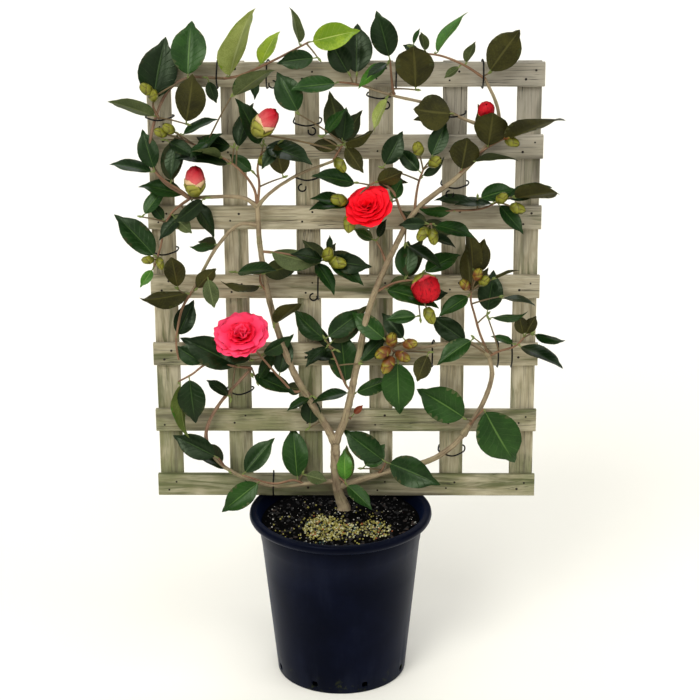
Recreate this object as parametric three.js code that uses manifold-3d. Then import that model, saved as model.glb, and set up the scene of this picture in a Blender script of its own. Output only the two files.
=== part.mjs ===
// Camellia trained flat on a square wooden trellis, in a nursery pot.
//
// Millimetres, +Z up. The origin is the centre of the pot's flat underside, on the floor.
// The shrub is tied to the front of the trellis, and the front faces -Y, with +X to the right.
// Places on the plant are given as [x, z] with a distance out, towards the front, from the rails.
// A heading is degrees clockwise from straight up, as seen from the front.

import * as THREE from 'three';
import { mergeVertices } from 'three/addons/utils/BufferGeometryUtils.js';
import Module from 'manifold-3d';

const wasm = await Module();
wasm.setup();

const POT = {
  height: 291, baseRadius: 108.4, stepHeight: 243, stepRadius: 133, shoulderHeight: 273, innerTop: 272,
  shoulderRadius: 136, lipRadius: 152.5, lipWidth: 14, wall: 3, sides: 36,
  holes: 8, holeHeight: 15, holeSize: 10, holeTurn: 22,
};
const SOIL = { top: 272 };
const TRELLIS = {
  pitch: 118, lathWidth: 39, thickness: 9, overhang: 4, rails: 7, laths: 6,
  centreX: 8.5, frontY: 53, foot: 291.3,
};

// Room between wood and wood, so that touching solids stay separate.
const GAP = 0.3;

// A leaf's sizes as shares of its length, angles in degrees and lengths in millimetres.
const LEAF = {
  width: 0.56, thickness: 0.022, stalk: 7, stalkRadius: 1.1, fold: 0.3, bend: [0.04, 0.16],
  lengthSpread: 0.07, headingSpread: 7, tilt: [4, 38], backTilt: [-58, -22], roll: 24,
  runOn: 50, backShare: 0.26, backHeading: 70, tries: [0, 14, -14, 28, -28, 42, -42, 56, -56],
};
// How far along the blade, and how wide there, for the sections between stalk and tip.
const LEAF_SECTIONS = [[0.34, 0.96], [0.7, 0.78]];
const SMALL_LEAF = { length: 56, sections: [[0.46, 1]] };
const TWIG = {
  radius: 1.5, tipRadius: 1.1, stemRadius: 2.3, sides: 3, stemSides: 4, stemStep: 24,
  bareLength: 9, sunk: 6, tilt: 16,
};
const BUD = { tilt: 30, width: 0.72, sides: 5, baseShare: 0.55, swellAt: 0.42 };
// The bloom's profile from back to heart: [share of the radius, share of the depth, petals' wave].
const BLOOM = {
  depth: 0.4, sides: 16, petals: 8, shutDepth: 1.15, shutSides: 8,
  profile: [[0.2, -0.5, 0], [0.62, -0.3, 0.04], [1, 0.12, 0.14], [0.72, 0.1, 0.02], [0.68, 0.36, 0.1],
    [0.4, 0.3, 0], [0.34, 0.5, 0.06]],
  shutProfile: [[0.5, -0.42, 0], [0.98, -0.12, 0], [0.86, 0.26, 0], [0.4, 0.48, 0]],
};

const COLOURS = {
  pot: { color: 0x15171c, roughness: 0.38, metalness: 0 },
  soil: { color: 0x1c1712, roughness: 0.95, metalness: 0 },
  timber: { color: 0x9b917c, roughness: 0.88, metalness: 0 },
  bark: { color: 0x8a7558, roughness: 0.85, metalness: 0 },
  foliage: { color: 0x1f3d20, roughness: 0.4, metalness: 0 },
};

// The trunk, its two leaders and the boughs, each a tapering limb along its stations.
const LIMBS = [
  { name: 'trunk', thick: [8.4, 7.6], out: [20, 20], flare: 4.2, sides: 9, steps: 9,
    way: [[5, SOIL.top + GAP], [5, 279], [-3, 304], [-8, 333], [-9, 399]] },
  { name: 'left_leader', from: 'trunk', thick: [6.2, 4.0], out: [20, 18], sides: 7, steps: 11,
    way: [[-9, 399], [-24, 427], [-78, 526], [-114, 647], [-128, 743], [-131, 808]] },
  { name: 'right_leader', from: 'trunk', thick: [6.2, 3.4], out: [20, 18], sides: 7, steps: 15,
    way: [[-9, 399], [7, 438], [27, 530], [50, 640], [95, 750], [125, 803], [184, 852], [219, 888],
      [255, 934]] },
  { name: 'left_low', from: 'trunk', thick: [3.6, 3.0], out: [20, 16], steps: 9,
    way: [[-8, 327], [-52, 322], [-114, 317], [-167, 334], [-205, 360], [-224, 388]] },
  { name: 'left_low_rise', from: 'left_low', thick: [3.0, 2.5], out: [16, 16], steps: 6,
    way: [[-224, 388], [-224, 419], [-202, 464], [-146, 529]] },
  { name: 'right_low', from: 'trunk', thick: [5.4, 4.4], out: [20, 14], steps: 9,
    way: [[-7, 315], [36, 330], [89, 347], [148, 363], [185, 387], [205, 409]] },
  { name: 'right_low_rise', from: 'right_low', thick: [4.4, 3.6], out: [14, 14], steps: 6,
    way: [[205, 409], [237, 466], [251, 515], [246, 550]] },
  { name: 'right_low_cross', from: 'right_low_rise', thick: [3.2, 2.3], out: [14, 20], steps: 6,
    way: [[246, 550], [211, 575], [142, 567], [96, 559]] },
  { name: 'left_arm', from: 'left_leader', thick: [3.2, 2.8], out: [18, 20], steps: 5,
    way: [[-131, 808], [-152, 822], [-211, 824], [-238, 822]] },
  { name: 'left_rise', from: 'left_arm', thick: [2.8, 2.2], out: [20, 14], steps: 11,
    way: [[-238, 822], [-280, 850], [-301, 890], [-273, 991], [-240, 1017], [-180, 1017]] },
  { name: 'left_inner', from: 'left_leader', thick: [3.0, 2.4], out: [18, 20], steps: 7,
    way: [[-130, 777], [-160, 778], [-192, 748], [-240, 665]] },
  { name: 'inner_rise', from: 'left_leader', thick: [2.8, 2.2], out: [18, 20], steps: 6,
    way: [[-131, 808], [-113, 828], [-72, 857], [-8, 884]] },
  { name: 'long_left', from: 'right_leader', thick: [2.9, 2.0], out: [18, 14], steps: 8,
    way: [[255, 934], [213, 946], [145, 975], [87, 989], [35, 1006]] },
  { name: 'right_arc', from: 'right_leader', thick: [3.0, 2.4], out: [18, 12], steps: 5,
    way: [[255, 934], [252, 969], [232, 1015]] },
];

// The masses of foliage. Each stem goes on from a limb's tip or side. A shoot is
// [how far along the stem, heading, length, first leaf's heading, last leaf's heading, leaves, leaf size],
// a bud is [how far along, heading, stalk, size] and a bloom [how far along, heading, stalk, size, open].
const MASSES = [
  { name: 'corner_left', limb: 'left_rise', out: [16, 32], turned: 0.4,
    stem: [[-284, 952], [-292, 974], [-288, 998]],
    shoots: [[0.1, -80, 10, -69, -69, 1, 80], [0.85, 58, 46, 8, 8, 1, 84], [0.05, 105, 46, 15, 15, 1, 76],
      [1, 10, 5, 14, 14, 1, 95]],
    buds: [[0.9, -41, 9, 20], [0.5, 6, 14, 18]], blooms: [] },
  { name: 'top_left', limb: 'left_rise', out: [16, 20], turned: 0.25,
    stem: [[-180, 1017], [-155, 1022], [-104, 1045], [-45, 1076]],
    shoots: [[0.04, 10, 6, 18, 18, 1, 112], [0.3, 150, 8, 165, 165, 1, 40], [0.4, 20, 8, 21, 21, 1, 60],
      [0.8, -20, 8, -8, -8, 1, 58], [1, 60, 5, -95, 79, 2, 72]],
    buds: [], blooms: [] },
  { name: 'upper_left', limb: 'left_leader', out: [18, 26], turned: 0.35,
    stem: [[-131, 808], [-136, 839], [-164, 876], [-214, 905], [-246, 920]],
    shoots: [[0.45, 5, 26, 13, 13, 1, 78], [0.5, -60, 8, -80, -80, 1, 76], [0.85, 40, 6, 49, 49, 1, 56],
      [1, -40, 10, 60, 60, 1, 60], [0.9, 62, 78, 50, 50, 1, 80]],
    buds: [[0.98, -61, 38, 18], [0.9, -47, 46, 18]], blooms: [] },
  { name: 'upper_inner', limb: 'left_leader', out: [18, 24], turned: 0.2,
    stem: [[-131, 808], [-127, 845], [-129, 874], [-121, 902]],
    shoots: [[0.5, -40, 10, -50, -50, 1, 46], [0.35, 70, 42, -12, -12, 1, 52],
      [1, 10, 12, -23, 110, 2, 78]],
    buds: [[0.75, 51, 6, 22]], blooms: [] },
  { name: 'upper_mid', limb: 'inner_rise', out: [20, 24], turned: 0.4,
    stem: [[-8, 884], [0, 900], [8, 914]],
    shoots: [[0.5, -63, 66, -25, -25, 1, 74], [0.5, -100, 26, 36, 36, 1, 54], [0.9, 0, 6, 8, 79, 2, 54],
      [1, 150, 4, 146, 146, 1, 52], [0.9, -90, 8, -93, -93, 1, 44]],
    buds: [[0.2, 144, 4, 21]], blooms: [[0.55, -69, 118, 39, 0.15]] },
  { name: 'left_edge', limb: 'left_arm', out: [20, 34], turned: 0.5,
    stem: [[-238, 822], [-252, 836], [-274, 852], [-292, 870]],
    shoots: [[0.3, -71, 6, -71, -71, 1, 72], [0.55, 0, 6, 4, 4, 1, 78], [1, -40, 8, -73, -18, 2, 68]],
    buds: [], blooms: [[0.12, 38, 24, 37, 0.15]] },
  { name: 'left_fall', limb: 'left_arm', out: [20, 26], turned: 0.35,
    stem: [[-238, 822], [-253, 812], [-268, 799], [-281, 776], [-288, 744], [-300, 708]],
    shoots: [[0.05, 125, 14, 143, 143, 1, 70], [0.14, 150, 12, -137, -137, 1, 58],
      [0.3, 120, 8, 133, 133, 1, 46], [0.4, -60, 10, -34, -34, 1, 50], [0.42, -78, 38, 32, 32, 1, 56],
      [0.88, -60, 8, -39, -39, 1, 93], [1, -150, 6, -150, -150, 1, 34]],
    buds: [[0.9, -83, 7, 16], [0.85, 160, 5, 16]], blooms: [] },
  { name: 'left_mid', limb: 'left_inner', out: [20, 22], turned: 0.6,
    stem: [[-240, 665], [-256, 638], [-265, 605], [-269, 574], [-266, 546]],
    shoots: [[0.1, -50, 20, -7, -7, 1, 58], [0.12, -95, 6, -106, -106, 1, 78],
      [0.06, 50, 24, 40, 168, 2, 50], [0.7, 20, 6, 24, 24, 1, 64]],
    buds: [], blooms: [] },
  { name: 'left_low_leaves', limb: 'left_low_rise', out: [16, 24], turned: 0.15,
    stem: [[-146, 529], [-168, 532], [-218, 538], [-245, 520], [-267, 508]],
    shoots: [[0.06, 150, 12, 113, 113, 1, 74], [0.04, 40, 10, 33, 33, 1, 54],
      [0.15, -60, 5, -60, -60, 1, 101], [0.3, -165, 42, -49, -49, 1, 50],
      [0.6, -50, 6, -55, -55, 1, 52], [0.85, 180, 6, 174, 174, 1, 78], [1, -170, 5, -178, -178, 1, 98]],
    buds: [], blooms: [] },
  { name: 'left_low_outer', limb: 'left_low', out: [16, 32], turned: 0,
    stem: [[-196, 352], [-199, 362], [-204, 374]],
    shoots: [[1, -60, 8, -61, -61, 1, 80], [0.5, -110, 10, -55, -55, 1, 56]],
    buds: [], blooms: [] },
  { name: 'left_low_bottom', limb: 'left_low', out: [18, 34], turned: 0.3,
    stem: [[-62, 321], [-78, 330], [-112, 326], [-165, 344]],
    shoots: [[0.12, -5, 5, -5, -5, 1, 93], [0.08, 60, 14, 102, 102, 1, 40], [0.7, -130, 8, -129, -129, 1, 80],
      [1, 0, 8, 38, 38, 1, 78]],
    buds: [], blooms: [] },
  { name: 'bloom_coral', limb: 'left_leader', out: [18, 40], turned: 0,
    stem: [[-60, 491], [-76, 490], [-96, 513], [-117, 541], [-146, 580]],
    shoots: [[0.3, 150, 5, 140, 140, 1, 44], [0.42, 10, 6, 10, 10, 1, 66], [0.75, -100, 14, -70, -70, 1, 66],
      [0.8, 80, 8, 62, 62, 1, 60]],
    buds: [], blooms: [[1, -38, 16, 90, 1]] },
  { name: 'leader_left', limb: 'left_leader', out: [18, 32], turned: 0.4,
    stem: [[-116, 660], [-128, 682], [-126, 706]],
    shoots: [[0.3, -93, 5, -93, -93, 1, 64], [0.8, -85, 42, 80, 80, 1, 62], [0.25, 165, 40, 45, 45, 1, 64]],
    buds: [], blooms: [] },
  { name: 'centre', limb: 'left_leader', out: [18, 34], turned: 0.2,
    stem: [[-126, 732], [-90, 730], [-45, 722], [-20, 722]],
    shoots: [[0.1, 100, 6, 107, 107, 1, 82], [0.8, 150, 6, 144, 144, 1, 60], [1, -20, 5, -76, -76, 1, 48],
      [1, 60, 8, 98, 118, 2, 66], [1, 10, 10, 11, 11, 1, 26]],
    buds: [[1, 13, 3, 22], [1, 91, 9, 23]], blooms: [] },
  { name: 'centre_low', limb: 'right_leader', out: [18, 32], turned: 0.1,
    stem: [[14, 470], [22, 482], [10, 500], [-5, 540], [-18, 573]],
    shoots: [[0.15, 60, 8, 69, 69, 1, 62], [0.2, -90, 8, -101, -101, 1, 62], [0.32, 0, 5, -4, -4, 1, 92],
      [0.65, 85, 34, 40, 40, 1, 60], [0.85, -130, 8, -131, -131, 1, 50], [0.9, -60, 8, -32, -32, 1, 44],
      [1, -30, 12, -50, 49, 2, 74]],
    buds: [], blooms: [] },
  { name: 'bud_cluster', limb: 'right_low_cross', out: [20, 34], turned: 0.1,
    stem: [[96, 559], [88, 564], [84, 576]],
    shoots: [[0.2, 170, 14, 179, 179, 1, 92], [0.7, 60, 26, -39, -39, 1, 56], [1, -40, 10, -49, -49, 1, 70],
      [0.5, 95, 52, -176, -176, 1, 46]],
    buds: [[1, 6, 3, 22], [0.9, 70, 27, 20], [0.3, 113, 5, 21], [0.8, -112, 6, 22], [0.3, -148, 12, 24]],
    blooms: [] },
  { name: 'right_out', limb: 'right_low_rise', out: [14, 28], turned: 0.3,
    stem: [[246, 550], [262, 560], [288, 571], [302, 588]],
    shoots: [[0.1, -48, 44, -52, -122, 2, 68], [0.72, -60, 5, -63, -63, 1, 38],
      [0.75, 110, 6, 112, 112, 1, 74], [1, 60, 12, 109, 109, 1, 50], [1, 0, 6, -10, 24, 2, 30],
      [0.6, -10, 40, 80, 80, 1, 54]],
    buds: [], blooms: [] },
  { name: 'right_up', limb: 'right_low_rise', out: [14, 26], turned: 0.4,
    stem: [[246, 550], [230, 590], [220, 626], [214, 649], [214, 668]],
    shoots: [[0.5, 45, 22, 9, 9, 1, 70], [0.8, 75, 46, 98, 98, 1, 52], [0.95, -100, 5, -125, -125, 1, 56],
      [1, 10, 24, -4, 14, 2, 64], [1, 60, 38, 61, 61, 1, 40]],
    buds: [[1, 15, 32, 19], [0.98, -34, 12, 19], [1, 41, 26, 18]], blooms: [] },
  { name: 'right_low_leaves', limb: 'right_low_rise', out: [14, 32], turned: 0,
    stem: [[214, 425], [222, 440], [238, 463]],
    shoots: [[0.3, -70, 10, -54, -54, 1, 91], [1, 40, 6, 154, 154, 1, 108]],
    buds: [], blooms: [] },
  { name: 'foot_right', limb: 'right_low', out: [18, 34], turned: 0.1,
    stem: [[62, 339], [70, 352], [76, 368]],
    shoots: [[0.4, -85, 32, 41, 41, 1, 50], [1, 0, 5, -52, 116, 2, 84]],
    buds: [], blooms: [] },
  { name: 'foot_leaves', limb: 'trunk', out: [20, 38], turned: 0,
    stem: [[-8, 336], [2, 334], [8, 330]],
    shoots: [[1, 20, 5, -2, -2, 1, 54], [0.9, 130, 8, 130, 130, 1, 56]],
    buds: [], blooms: [] },
  { name: 'right_mid', limb: 'right_leader', out: [18, 34], turned: 0.1,
    stem: [[58, 662], [87, 679], [108, 686], [130, 688]],
    shoots: [[0.2, 120, 5, 104, 104, 1, 86], [0.7, 0, 6, 2, 2, 1, 64], [0.95, 35, 14, 55, 55, 1, 68],
      [0.9, 172, 58, -92, 44, 2, 46]],
    buds: [[0.9, 154, 51, 22]], blooms: [[1, 120, 8, 45, 0.35]] },
  { name: 'under_bloom', limb: 'right_leader', out: [18, 26], turned: 0.3,
    stem: [[76, 712], [68, 736], [60, 752]],
    shoots: [[1, -30, 5, -58, 22, 2, 34]],
    buds: [], blooms: [] },
  { name: 'bloom_scarlet', limb: 'right_leader', out: [18, 36], turned: 0.3,
    stem: [[110, 780], [99, 802], [86, 836], [62, 852], [44, 842], [22, 818]],
    shoots: [[1, -80, 6, -92, -79, 2, 60], [0.32, -60, 16, 25, 25, 1, 44], [0.72, -80, 18, -78, -78, 1, 66],
      [0.66, 40, 6, 74, 74, 1, 46]],
    buds: [[1, -66, 15, 23], [1, -171, 19, 24]], blooms: [[0.9, 150, 14, 78, 1]] },
  { name: 'bud_pair', limb: 'right_leader', out: [18, 28], turned: 0.15,
    stem: [[122, 800], [124, 826], [128, 850], [135, 872]],
    shoots: [[0.6, -68, 48, 27, 27, 1, 62], [0.9, -60, 6, -42, -42, 1, 52], [0.78, 60, 6, 53, 53, 1, 46],
      [1, 35, 20, 20, 20, 1, 62]],
    buds: [[1, -12, 37, 21], [1, 47, 18, 20]], blooms: [] },
  { name: 'right_inner', limb: 'right_leader', out: [18, 36], turned: 0.1,
    stem: [[108, 774], [124, 779], [150, 784]],
    shoots: [[1, 90, 4, 104, 104, 1, 60], [0.9, -90, 4, -88, -88, 1, 42], [0.5, 172, 28, 108, 122, 2, 56]],
    buds: [[0.9, -140, 9, 20], [0.95, 169, 10, 20]], blooms: [] },
  { name: 'right_side', limb: 'right_leader', out: [18, 30], turned: 0.2,
    stem: [[132, 808], [146, 804], [193, 803], [230, 807], [254, 819]],
    shoots: [[0.45, -90, 4, -95, -95, 1, 52], [0.72, 0, 18, -75, 68, 2, 62], [0.97, -80, 4, -88, -88, 1, 60],
      [1, 135, 8, 141, 141, 1, 62], [1, 72, 26, 70, 82, 2, 72]],
    buds: [[0.95, 45, 9, 19], [1, 99, 26, 20]], blooms: [] },
  { name: 'right_tip', limb: 'right_leader', out: [18, 34], turned: 0.6,
    stem: [[190, 858], [206, 880], [232, 905], [262, 924]],
    shoots: [[0.1, 0, 6, 9, 9, 1, 56], [0.35, 85, 8, 82, 82, 1, 68], [0.7, -10, 8, 8, 8, 1, 52],
      [1, 60, 6, 68, 68, 1, 93]],
    buds: [[1, 103, 5, 19], [1, 47, 3, 16]], blooms: [[0.72, -6, 62, 26, 0.2]] },
  { name: 'top_mid', limb: 'long_left', out: [14, 24], turned: 0.1,
    stem: [[35, 1006], [20, 1010], [2, 1013]],
    shoots: [[0.2, 5, 12, 5, 5, 1, 103], [0.35, -20, 12, -30, -30, 1, 62], [1, -90, 4, -98, -98, 1, 68]],
    buds: [], blooms: [] },
  { name: 'top_centre', limb: 'long_left', out: [14, 26], turned: 0.2,
    stem: [[88, 989], [85, 1012], [82, 1048]],
    shoots: [[0.15, -140, 12, -152, -152, 1, 58], [0.2, 95, 36, -2, -2, 1, 72],
      [0.95, -80, 8, -146, -122, 2, 58], [1, 0, 4, -12, -12, 1, 82]],
    buds: [], blooms: [] },
  { name: 'top_right', limb: 'right_arc', out: [12, 22], turned: 0.5,
    stem: [[232, 1015], [198, 1038], [160, 1054], [132, 1058]],
    shoots: [[0.05, 60, 10, 34, 34, 1, 80], [0.35, 30, 6, 15, 15, 1, 36], [0.4, -130, 5, -129, -129, 1, 30],
      [0.68, 20, 8, 32, 32, 1, 85], [0.95, 0, 5, -8, -8, 1, 30], [1, -60, 8, -63, 19, 2, 28]],
    buds: [], blooms: [] },
];

/** Seeded random numbers from 0 to 1, the same for the same seed. */
function seededRandom(seed) {
  let state = seed;
  return () => {
    state = (state * 16807) % 2147483647;
    return state / 2147483647;
  };
}

/** A value between two ends of a range. */
function between(range, share) {
  return range[0] + (range[1] - range[0]) * share;
}

/** A point on the plant's own plane: x, height, and the distance out from the rails. */
function place(station, out) {
  return new THREE.Vector3(station[0], TRELLIS.frontY - out, station[1]);
}

/** The unit direction of a heading, tilted out of the plane towards the front. */
function direction(heading, tilt) {
  const turn = THREE.MathUtils.degToRad(heading);
  const lift = THREE.MathUtils.degToRad(tilt);
  const flat = Math.cos(lift);
  return new THREE.Vector3(Math.sin(turn) * flat, -Math.sin(lift), Math.cos(turn) * flat);
}

/** A three.js geometry as a closed solid. */
function solidOf(geometry) {
  const bare = geometry.clone();
  bare.deleteAttribute('normal');
  bare.deleteAttribute('uv');
  const merged = mergeVertices(bare, 1e-4);
  const mesh = new wasm.Mesh({
    numProp: 3,
    vertProperties: new Float32Array(merged.attributes.position.array),
    triVerts: new Uint32Array(merged.index.array),
  });
  return new wasm.Manifold(mesh);
}

/** The largest body of a solid, without loose scraps or sealed hollows. */
function largestBody(solid) {
  return solid.decompose().reduce((best, body) => (body.volume() > best.volume() ? body : best));
}

/** A solid as a three.js geometry with flat faces. */
function geometryOf(solid) {
  const mesh = solid.getMesh();
  const geometry = new THREE.BufferGeometry();
  geometry.setAttribute('position', new THREE.BufferAttribute(new Float32Array(mesh.vertProperties), 3));
  geometry.setIndex(new THREE.BufferAttribute(new Uint32Array(mesh.triVerts), 1));
  geometry.computeVertexNormals();
  return geometry;
}

/** A closed solid from corners and faces that name them. */
function solidFromFaces(corners, faces) {
  const geometry = new THREE.BufferGeometry().setFromPoints(corners);
  geometry.setIndex(faces.flat());
  return solidOf(geometry);
}

/** A round limb along a curve. radiusAt takes the share of the length, from 0 to 1. */
function limbSolid(curve, radiusAt, sides, steps) {
  const geometry = new THREE.CylinderGeometry(1, 1, 1, sides, steps);
  const frames = curve.computeFrenetFrames(steps, false);
  const position = geometry.attributes.position;
  const point = new THREE.Vector3();
  for (let i = 0; i < position.count; i += 1) {
    const ring = Math.round((position.getY(i) + 0.5) * steps);
    const share = ring / steps;
    const radius = radiusAt(share);
    curve.getPointAt(share, point);
    point.addScaledVector(frames.normals[ring], position.getZ(i) * radius);
    point.addScaledVector(frames.binormals[ring], position.getX(i) * radius);
    position.setXYZ(i, point.x, point.y, point.z);
  }
  return solidOf(geometry);
}

/** A straight three-sided twig from one point to another, drawn to a point just past its end. */
function twigSolid(start, end, radius, tipRadius) {
  const axis = end.clone().sub(start).normalize();
  const rings = [ringOf(start, axis, radius, TWIG.sides), ringOf(end, axis, tipRadius, TWIG.sides)];
  return skinSolid(rings, end.clone().addScaledVector(axis, tipRadius));
}

/** The smooth curve through a limb's or stem's stations. */
function wayCurve(way, out) {
  const last = way.length - 1;
  const points = way.map((station, i) => place(station, between(out, i / last)));
  return new THREE.CatmullRomCurve3(points, false, 'centripetal');
}

/** Two unit vectors across an axis: one to the side and one on the face nearest to the light. */
function leafAxes(axis, roll) {
  const face = new THREE.Vector3(0, -0.78, 0.62);
  face.addScaledVector(axis, -face.dot(axis)).normalize();
  face.applyAxisAngle(axis, THREE.MathUtils.degToRad(roll));
  const side = new THREE.Vector3().crossVectors(axis, face);
  return { side, face };
}

/** A closed solid through rings of corners with a point, or a flat cap, at each end. */
function skinSolid(rings, tip) {
  const sides = rings[0].length;
  const corners = [...rings.flat(), tip];
  const faces = [];
  for (let i = 1; i < sides - 1; i += 1) {
    faces.push([0, i + 1, i]);
  }
  rings.forEach((_, ring) => {
    for (let i = 0; i < sides; i += 1) {
      const low = ring * sides + i;
      const lowNext = ring * sides + ((i + 1) % sides);
      if (ring < rings.length - 1) {
        faces.push([low, lowNext, lowNext + sides], [low, lowNext + sides, low + sides]);
      } else {
        faces.push([low, lowNext, corners.length - 1]);
      }
    }
  });
  return solidFromFaces(corners, faces);
}

/** A folded, bent leaf with a pointed tip. Its twig, if it ends one, starts at the twig's root. */
function leafSolids(root, twigRoot, axis, roll, length, bend) {
  const { side, face } = leafAxes(axis, roll);
  const half = (length * LEAF.width) / 2;
  const thick = Math.max(length * LEAF.thickness, 1.2);
  const section = (centre, across, up, down) => [
    centre.clone().addScaledVector(side, -across).addScaledVector(face, up),
    centre.clone().addScaledVector(side, across).addScaledVector(face, up),
    centre.clone().addScaledVector(face, -down),
  ];
  const along = (share) => root.clone()
    .addScaledVector(axis, LEAF.stalk + share * length)
    .addScaledVector(face, -bend * length * share * share);
  const small = length < SMALL_LEAF.length;
  const blade = (small ? SMALL_LEAF.sections : LEAF_SECTIONS).map(([share, width]) => {
    const lift = half * width * LEAF.fold;
    return section(along(share), half * width, lift, thick - lift * 0.5);
  });
  const stalk = (centre, radius) => section(centre, radius, radius * 0.6, radius);
  const stalks = [stalk(root, LEAF.stalkRadius)];
  if (twigRoot) {
    stalks.unshift(stalk(twigRoot, TWIG.radius));
  }
  return { whole: skinSolid([...stalks, ...blade], along(1)), blade: skinSolid(blade, along(1)) };
}

/** A ring of corners round an axis. */
function ringOf(centre, axis, reach, sides) {
  const { side, face } = leafAxes(axis, 0);
  return Array.from({ length: sides }, (_, i) => {
    const angle = (i / sides) * Math.PI * 2;
    return centre.clone()
      .addScaledVector(side, -Math.cos(angle) * reach).addScaledVector(face, Math.sin(angle) * reach);
  });
}

/** A pointed bud on its stalk. */
function budSolid(root, axis, stalk, size) {
  const swell = size * BUD.width * 0.5;
  const along = (length) => root.clone().addScaledVector(axis, length);
  const rings = [
    ringOf(root, axis, TWIG.tipRadius, BUD.sides),
    ringOf(along(stalk), axis, swell * BUD.baseShare, BUD.sides),
    ringOf(along(stalk + size * BUD.swellAt), axis, swell, BUD.sides),
  ];
  return skinSolid(rings, along(stalk + size));
}

/** The way a bloom faces: an open one to the front, a half open one down, a shut one up. */
function bloomAxis(heading, open) {
  if (open > 0.5) {
    return direction(heading, 62);
  }
  return open > 0.3 ? direction(150, 40) : direction(4, 14);
}

/** A bloom as stepped rings of waved petals round its heart. open runs from 0, shut, to 1. */
function bloomSolid(centre, axis, size, open) {
  const { side, face } = leafAxes(axis, 0);
  const shut = open < 0.5;
  const profile = shut ? BLOOM.shutProfile : BLOOM.profile;
  const depth = size * (shut ? BLOOM.shutDepth : BLOOM.depth);
  const sides = shut ? BLOOM.shutSides : BLOOM.sides;
  const rings = profile.map(([radius, rise, wave]) => Array.from({ length: sides }, (_, i) => {
    const angle = (i / sides) * Math.PI * 2;
    const reach = (size / 2) * radius * (1 - wave * (0.5 - 0.5 * Math.cos(angle * BLOOM.petals)));
    return centre.clone()
      .addScaledVector(side, -Math.cos(angle) * reach)
      .addScaledVector(face, Math.sin(angle) * reach)
      .addScaledVector(axis, rise * depth);
  }));
  return skinSolid(rings, centre.clone().addScaledVector(axis, depth * 0.5));
}

/** Whether a solid is clear of every one of the others. */
function isClear(solid, others) {
  const mine = solid.boundingBox();
  return others.every((other) => {
    const apart = [0, 1, 2].some((k) => mine.min[k] > other.box.max[k] || mine.max[k] < other.box.min[k]);
    return apart || other.solid.intersect(solid).isEmpty();
  });
}

/** A solid with its bounding box beside it, for the tests of room. */
function boxed(solid) {
  return { solid, box: solid.boundingBox() };
}

/** Cuts a solid clear of the swollen limbs near it and keeps its largest body. */
function cutClear(solid, swollen) {
  const mine = solid.boundingBox();
  const near = swollen.filter((other) => [0, 1, 2].every((k) => (
    mine.min[k] <= other.box.max[k] && mine.max[k] >= other.box.min[k])));
  const cut = near.reduce((rest, other) => rest.subtract(other.solid), solid);
  return largestBody(cut);
}

/** The leaves' shape and place, drawn in a fixed order for each leaf. */
function drawLeaf(random, heading, size) {
  const draw = Array.from({ length: 8 }, random);
  return {
    heading: heading + (draw[0] * 2 - 1) * LEAF.headingSpread,
    tilt: between(LEAF.tilt, draw[1]),
    length: size * (1 + (draw[2] * 2 - 1) * LEAF.lengthSpread),
    roll: (draw[3] * 2 - 1) * LEAF.roll,
    bend: between(LEAF.bend, draw[4]),
    turned: draw[5],
    back: draw[6],
    backHeading: heading + (draw[7] * 2 - 1) * LEAF.backHeading,
  };
}

/** One leaf on its stalk, or null where no try finds room for it. */
function leafOn(root, twigRoot, leaf, heading, tilt, turned, blockers, own) {
  const shown = Math.cos(THREE.MathUtils.degToRad(Math.min(Math.abs(tilt), LEAF.tilt[1])));
  for (const turn of LEAF.tries) {
    const axis = direction(heading + turn, tilt + Math.abs(turn) * 0.5 * Math.sign(tilt));
    const { whole, blade } = leafSolids(
      root, twigRoot, axis, leaf.roll + turned * 180, leaf.length / shown, leaf.bend);
    if (isClear(whole, blockers) && isClear(blade, own)) {
      own.push(boxed(whole));
      return whole;
    }
  }
  return null;
}

/** Whether a shoot runs straight on into its only leaf, so that one skin makes both. */
function runsOn(shoot) {
  const [, heading, length, first, , count] = shoot;
  return count === 1 && length > TWIG.bareLength && Math.abs(heading - first) < LEAF.runOn;
}

/** The leaves along a shoot, and now and then one more that points to the back. */
function shootLeaves(start, end, shoot, share, random, blockers, own) {
  const [, , , first, last, count, size] = shoot;
  const leaves = [];
  for (let i = 0; i < count; i += 1) {
    const single = count === 1;
    const root = single ? end : start.clone().lerp(end, (i + 1) / (count + 0.1));
    const heading = single ? first : between([first, last], i / (count - 1));
    const leaf = drawLeaf(random, heading, size);
    const turned = leaf.turned < share ? 1 : 0;
    const twigRoot = runsOn(shoot) ? start : null;
    leaves.push(leafOn(root, twigRoot, leaf, leaf.heading, leaf.tilt, turned, blockers, own));
    if (leaf.back < LEAF.backShare) {
      const backTilt = between(LEAF.backTilt, leaf.turned);
      leaves.push(leafOn(start, null, leaf, leaf.backHeading, backTilt, 1, blockers, own));
    }
  }
  return leaves.filter(Boolean);
}

/** The first heading, of those tried, at which a shoot's outer part is clear, or null. */
function clearHeading(root, heading, length, blockers) {
  const inner = Math.min(length * 0.6, TWIG.sunk);
  const found = LEAF.tries.find((turn) => {
    const axis = direction(heading + turn, TWIG.tilt);
    const start = root.clone().addScaledVector(axis, inner);
    const end = root.clone().addScaledVector(axis, length);
    return isClear(twigSolid(start, end, TWIG.radius, TWIG.tipRadius), blockers);
  });
  return found === undefined ? null : heading + found;
}

/** A point along a stem, kept a little inside its end. */
function rootOn(curve, along) {
  return curve.getPointAt(Math.min(along, 0.995));
}

/** The blooms of a mass, each with its own stalk. */
function bloomsOf(mass, curve) {
  return mass.blooms.map(([along, heading, stalk, size, open]) => {
    const root = rootOn(curve, along);
    const end = root.clone().addScaledVector(direction(heading, TWIG.tilt), stalk);
    const axis = bloomAxis(heading, open);
    const centre = end.clone().addScaledVector(axis, size * 0.2);
    const twig = twigSolid(root, centre, TWIG.radius, TWIG.radius);
    return twig.add(bloomSolid(centre, axis, size, open));
  });
}

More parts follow.
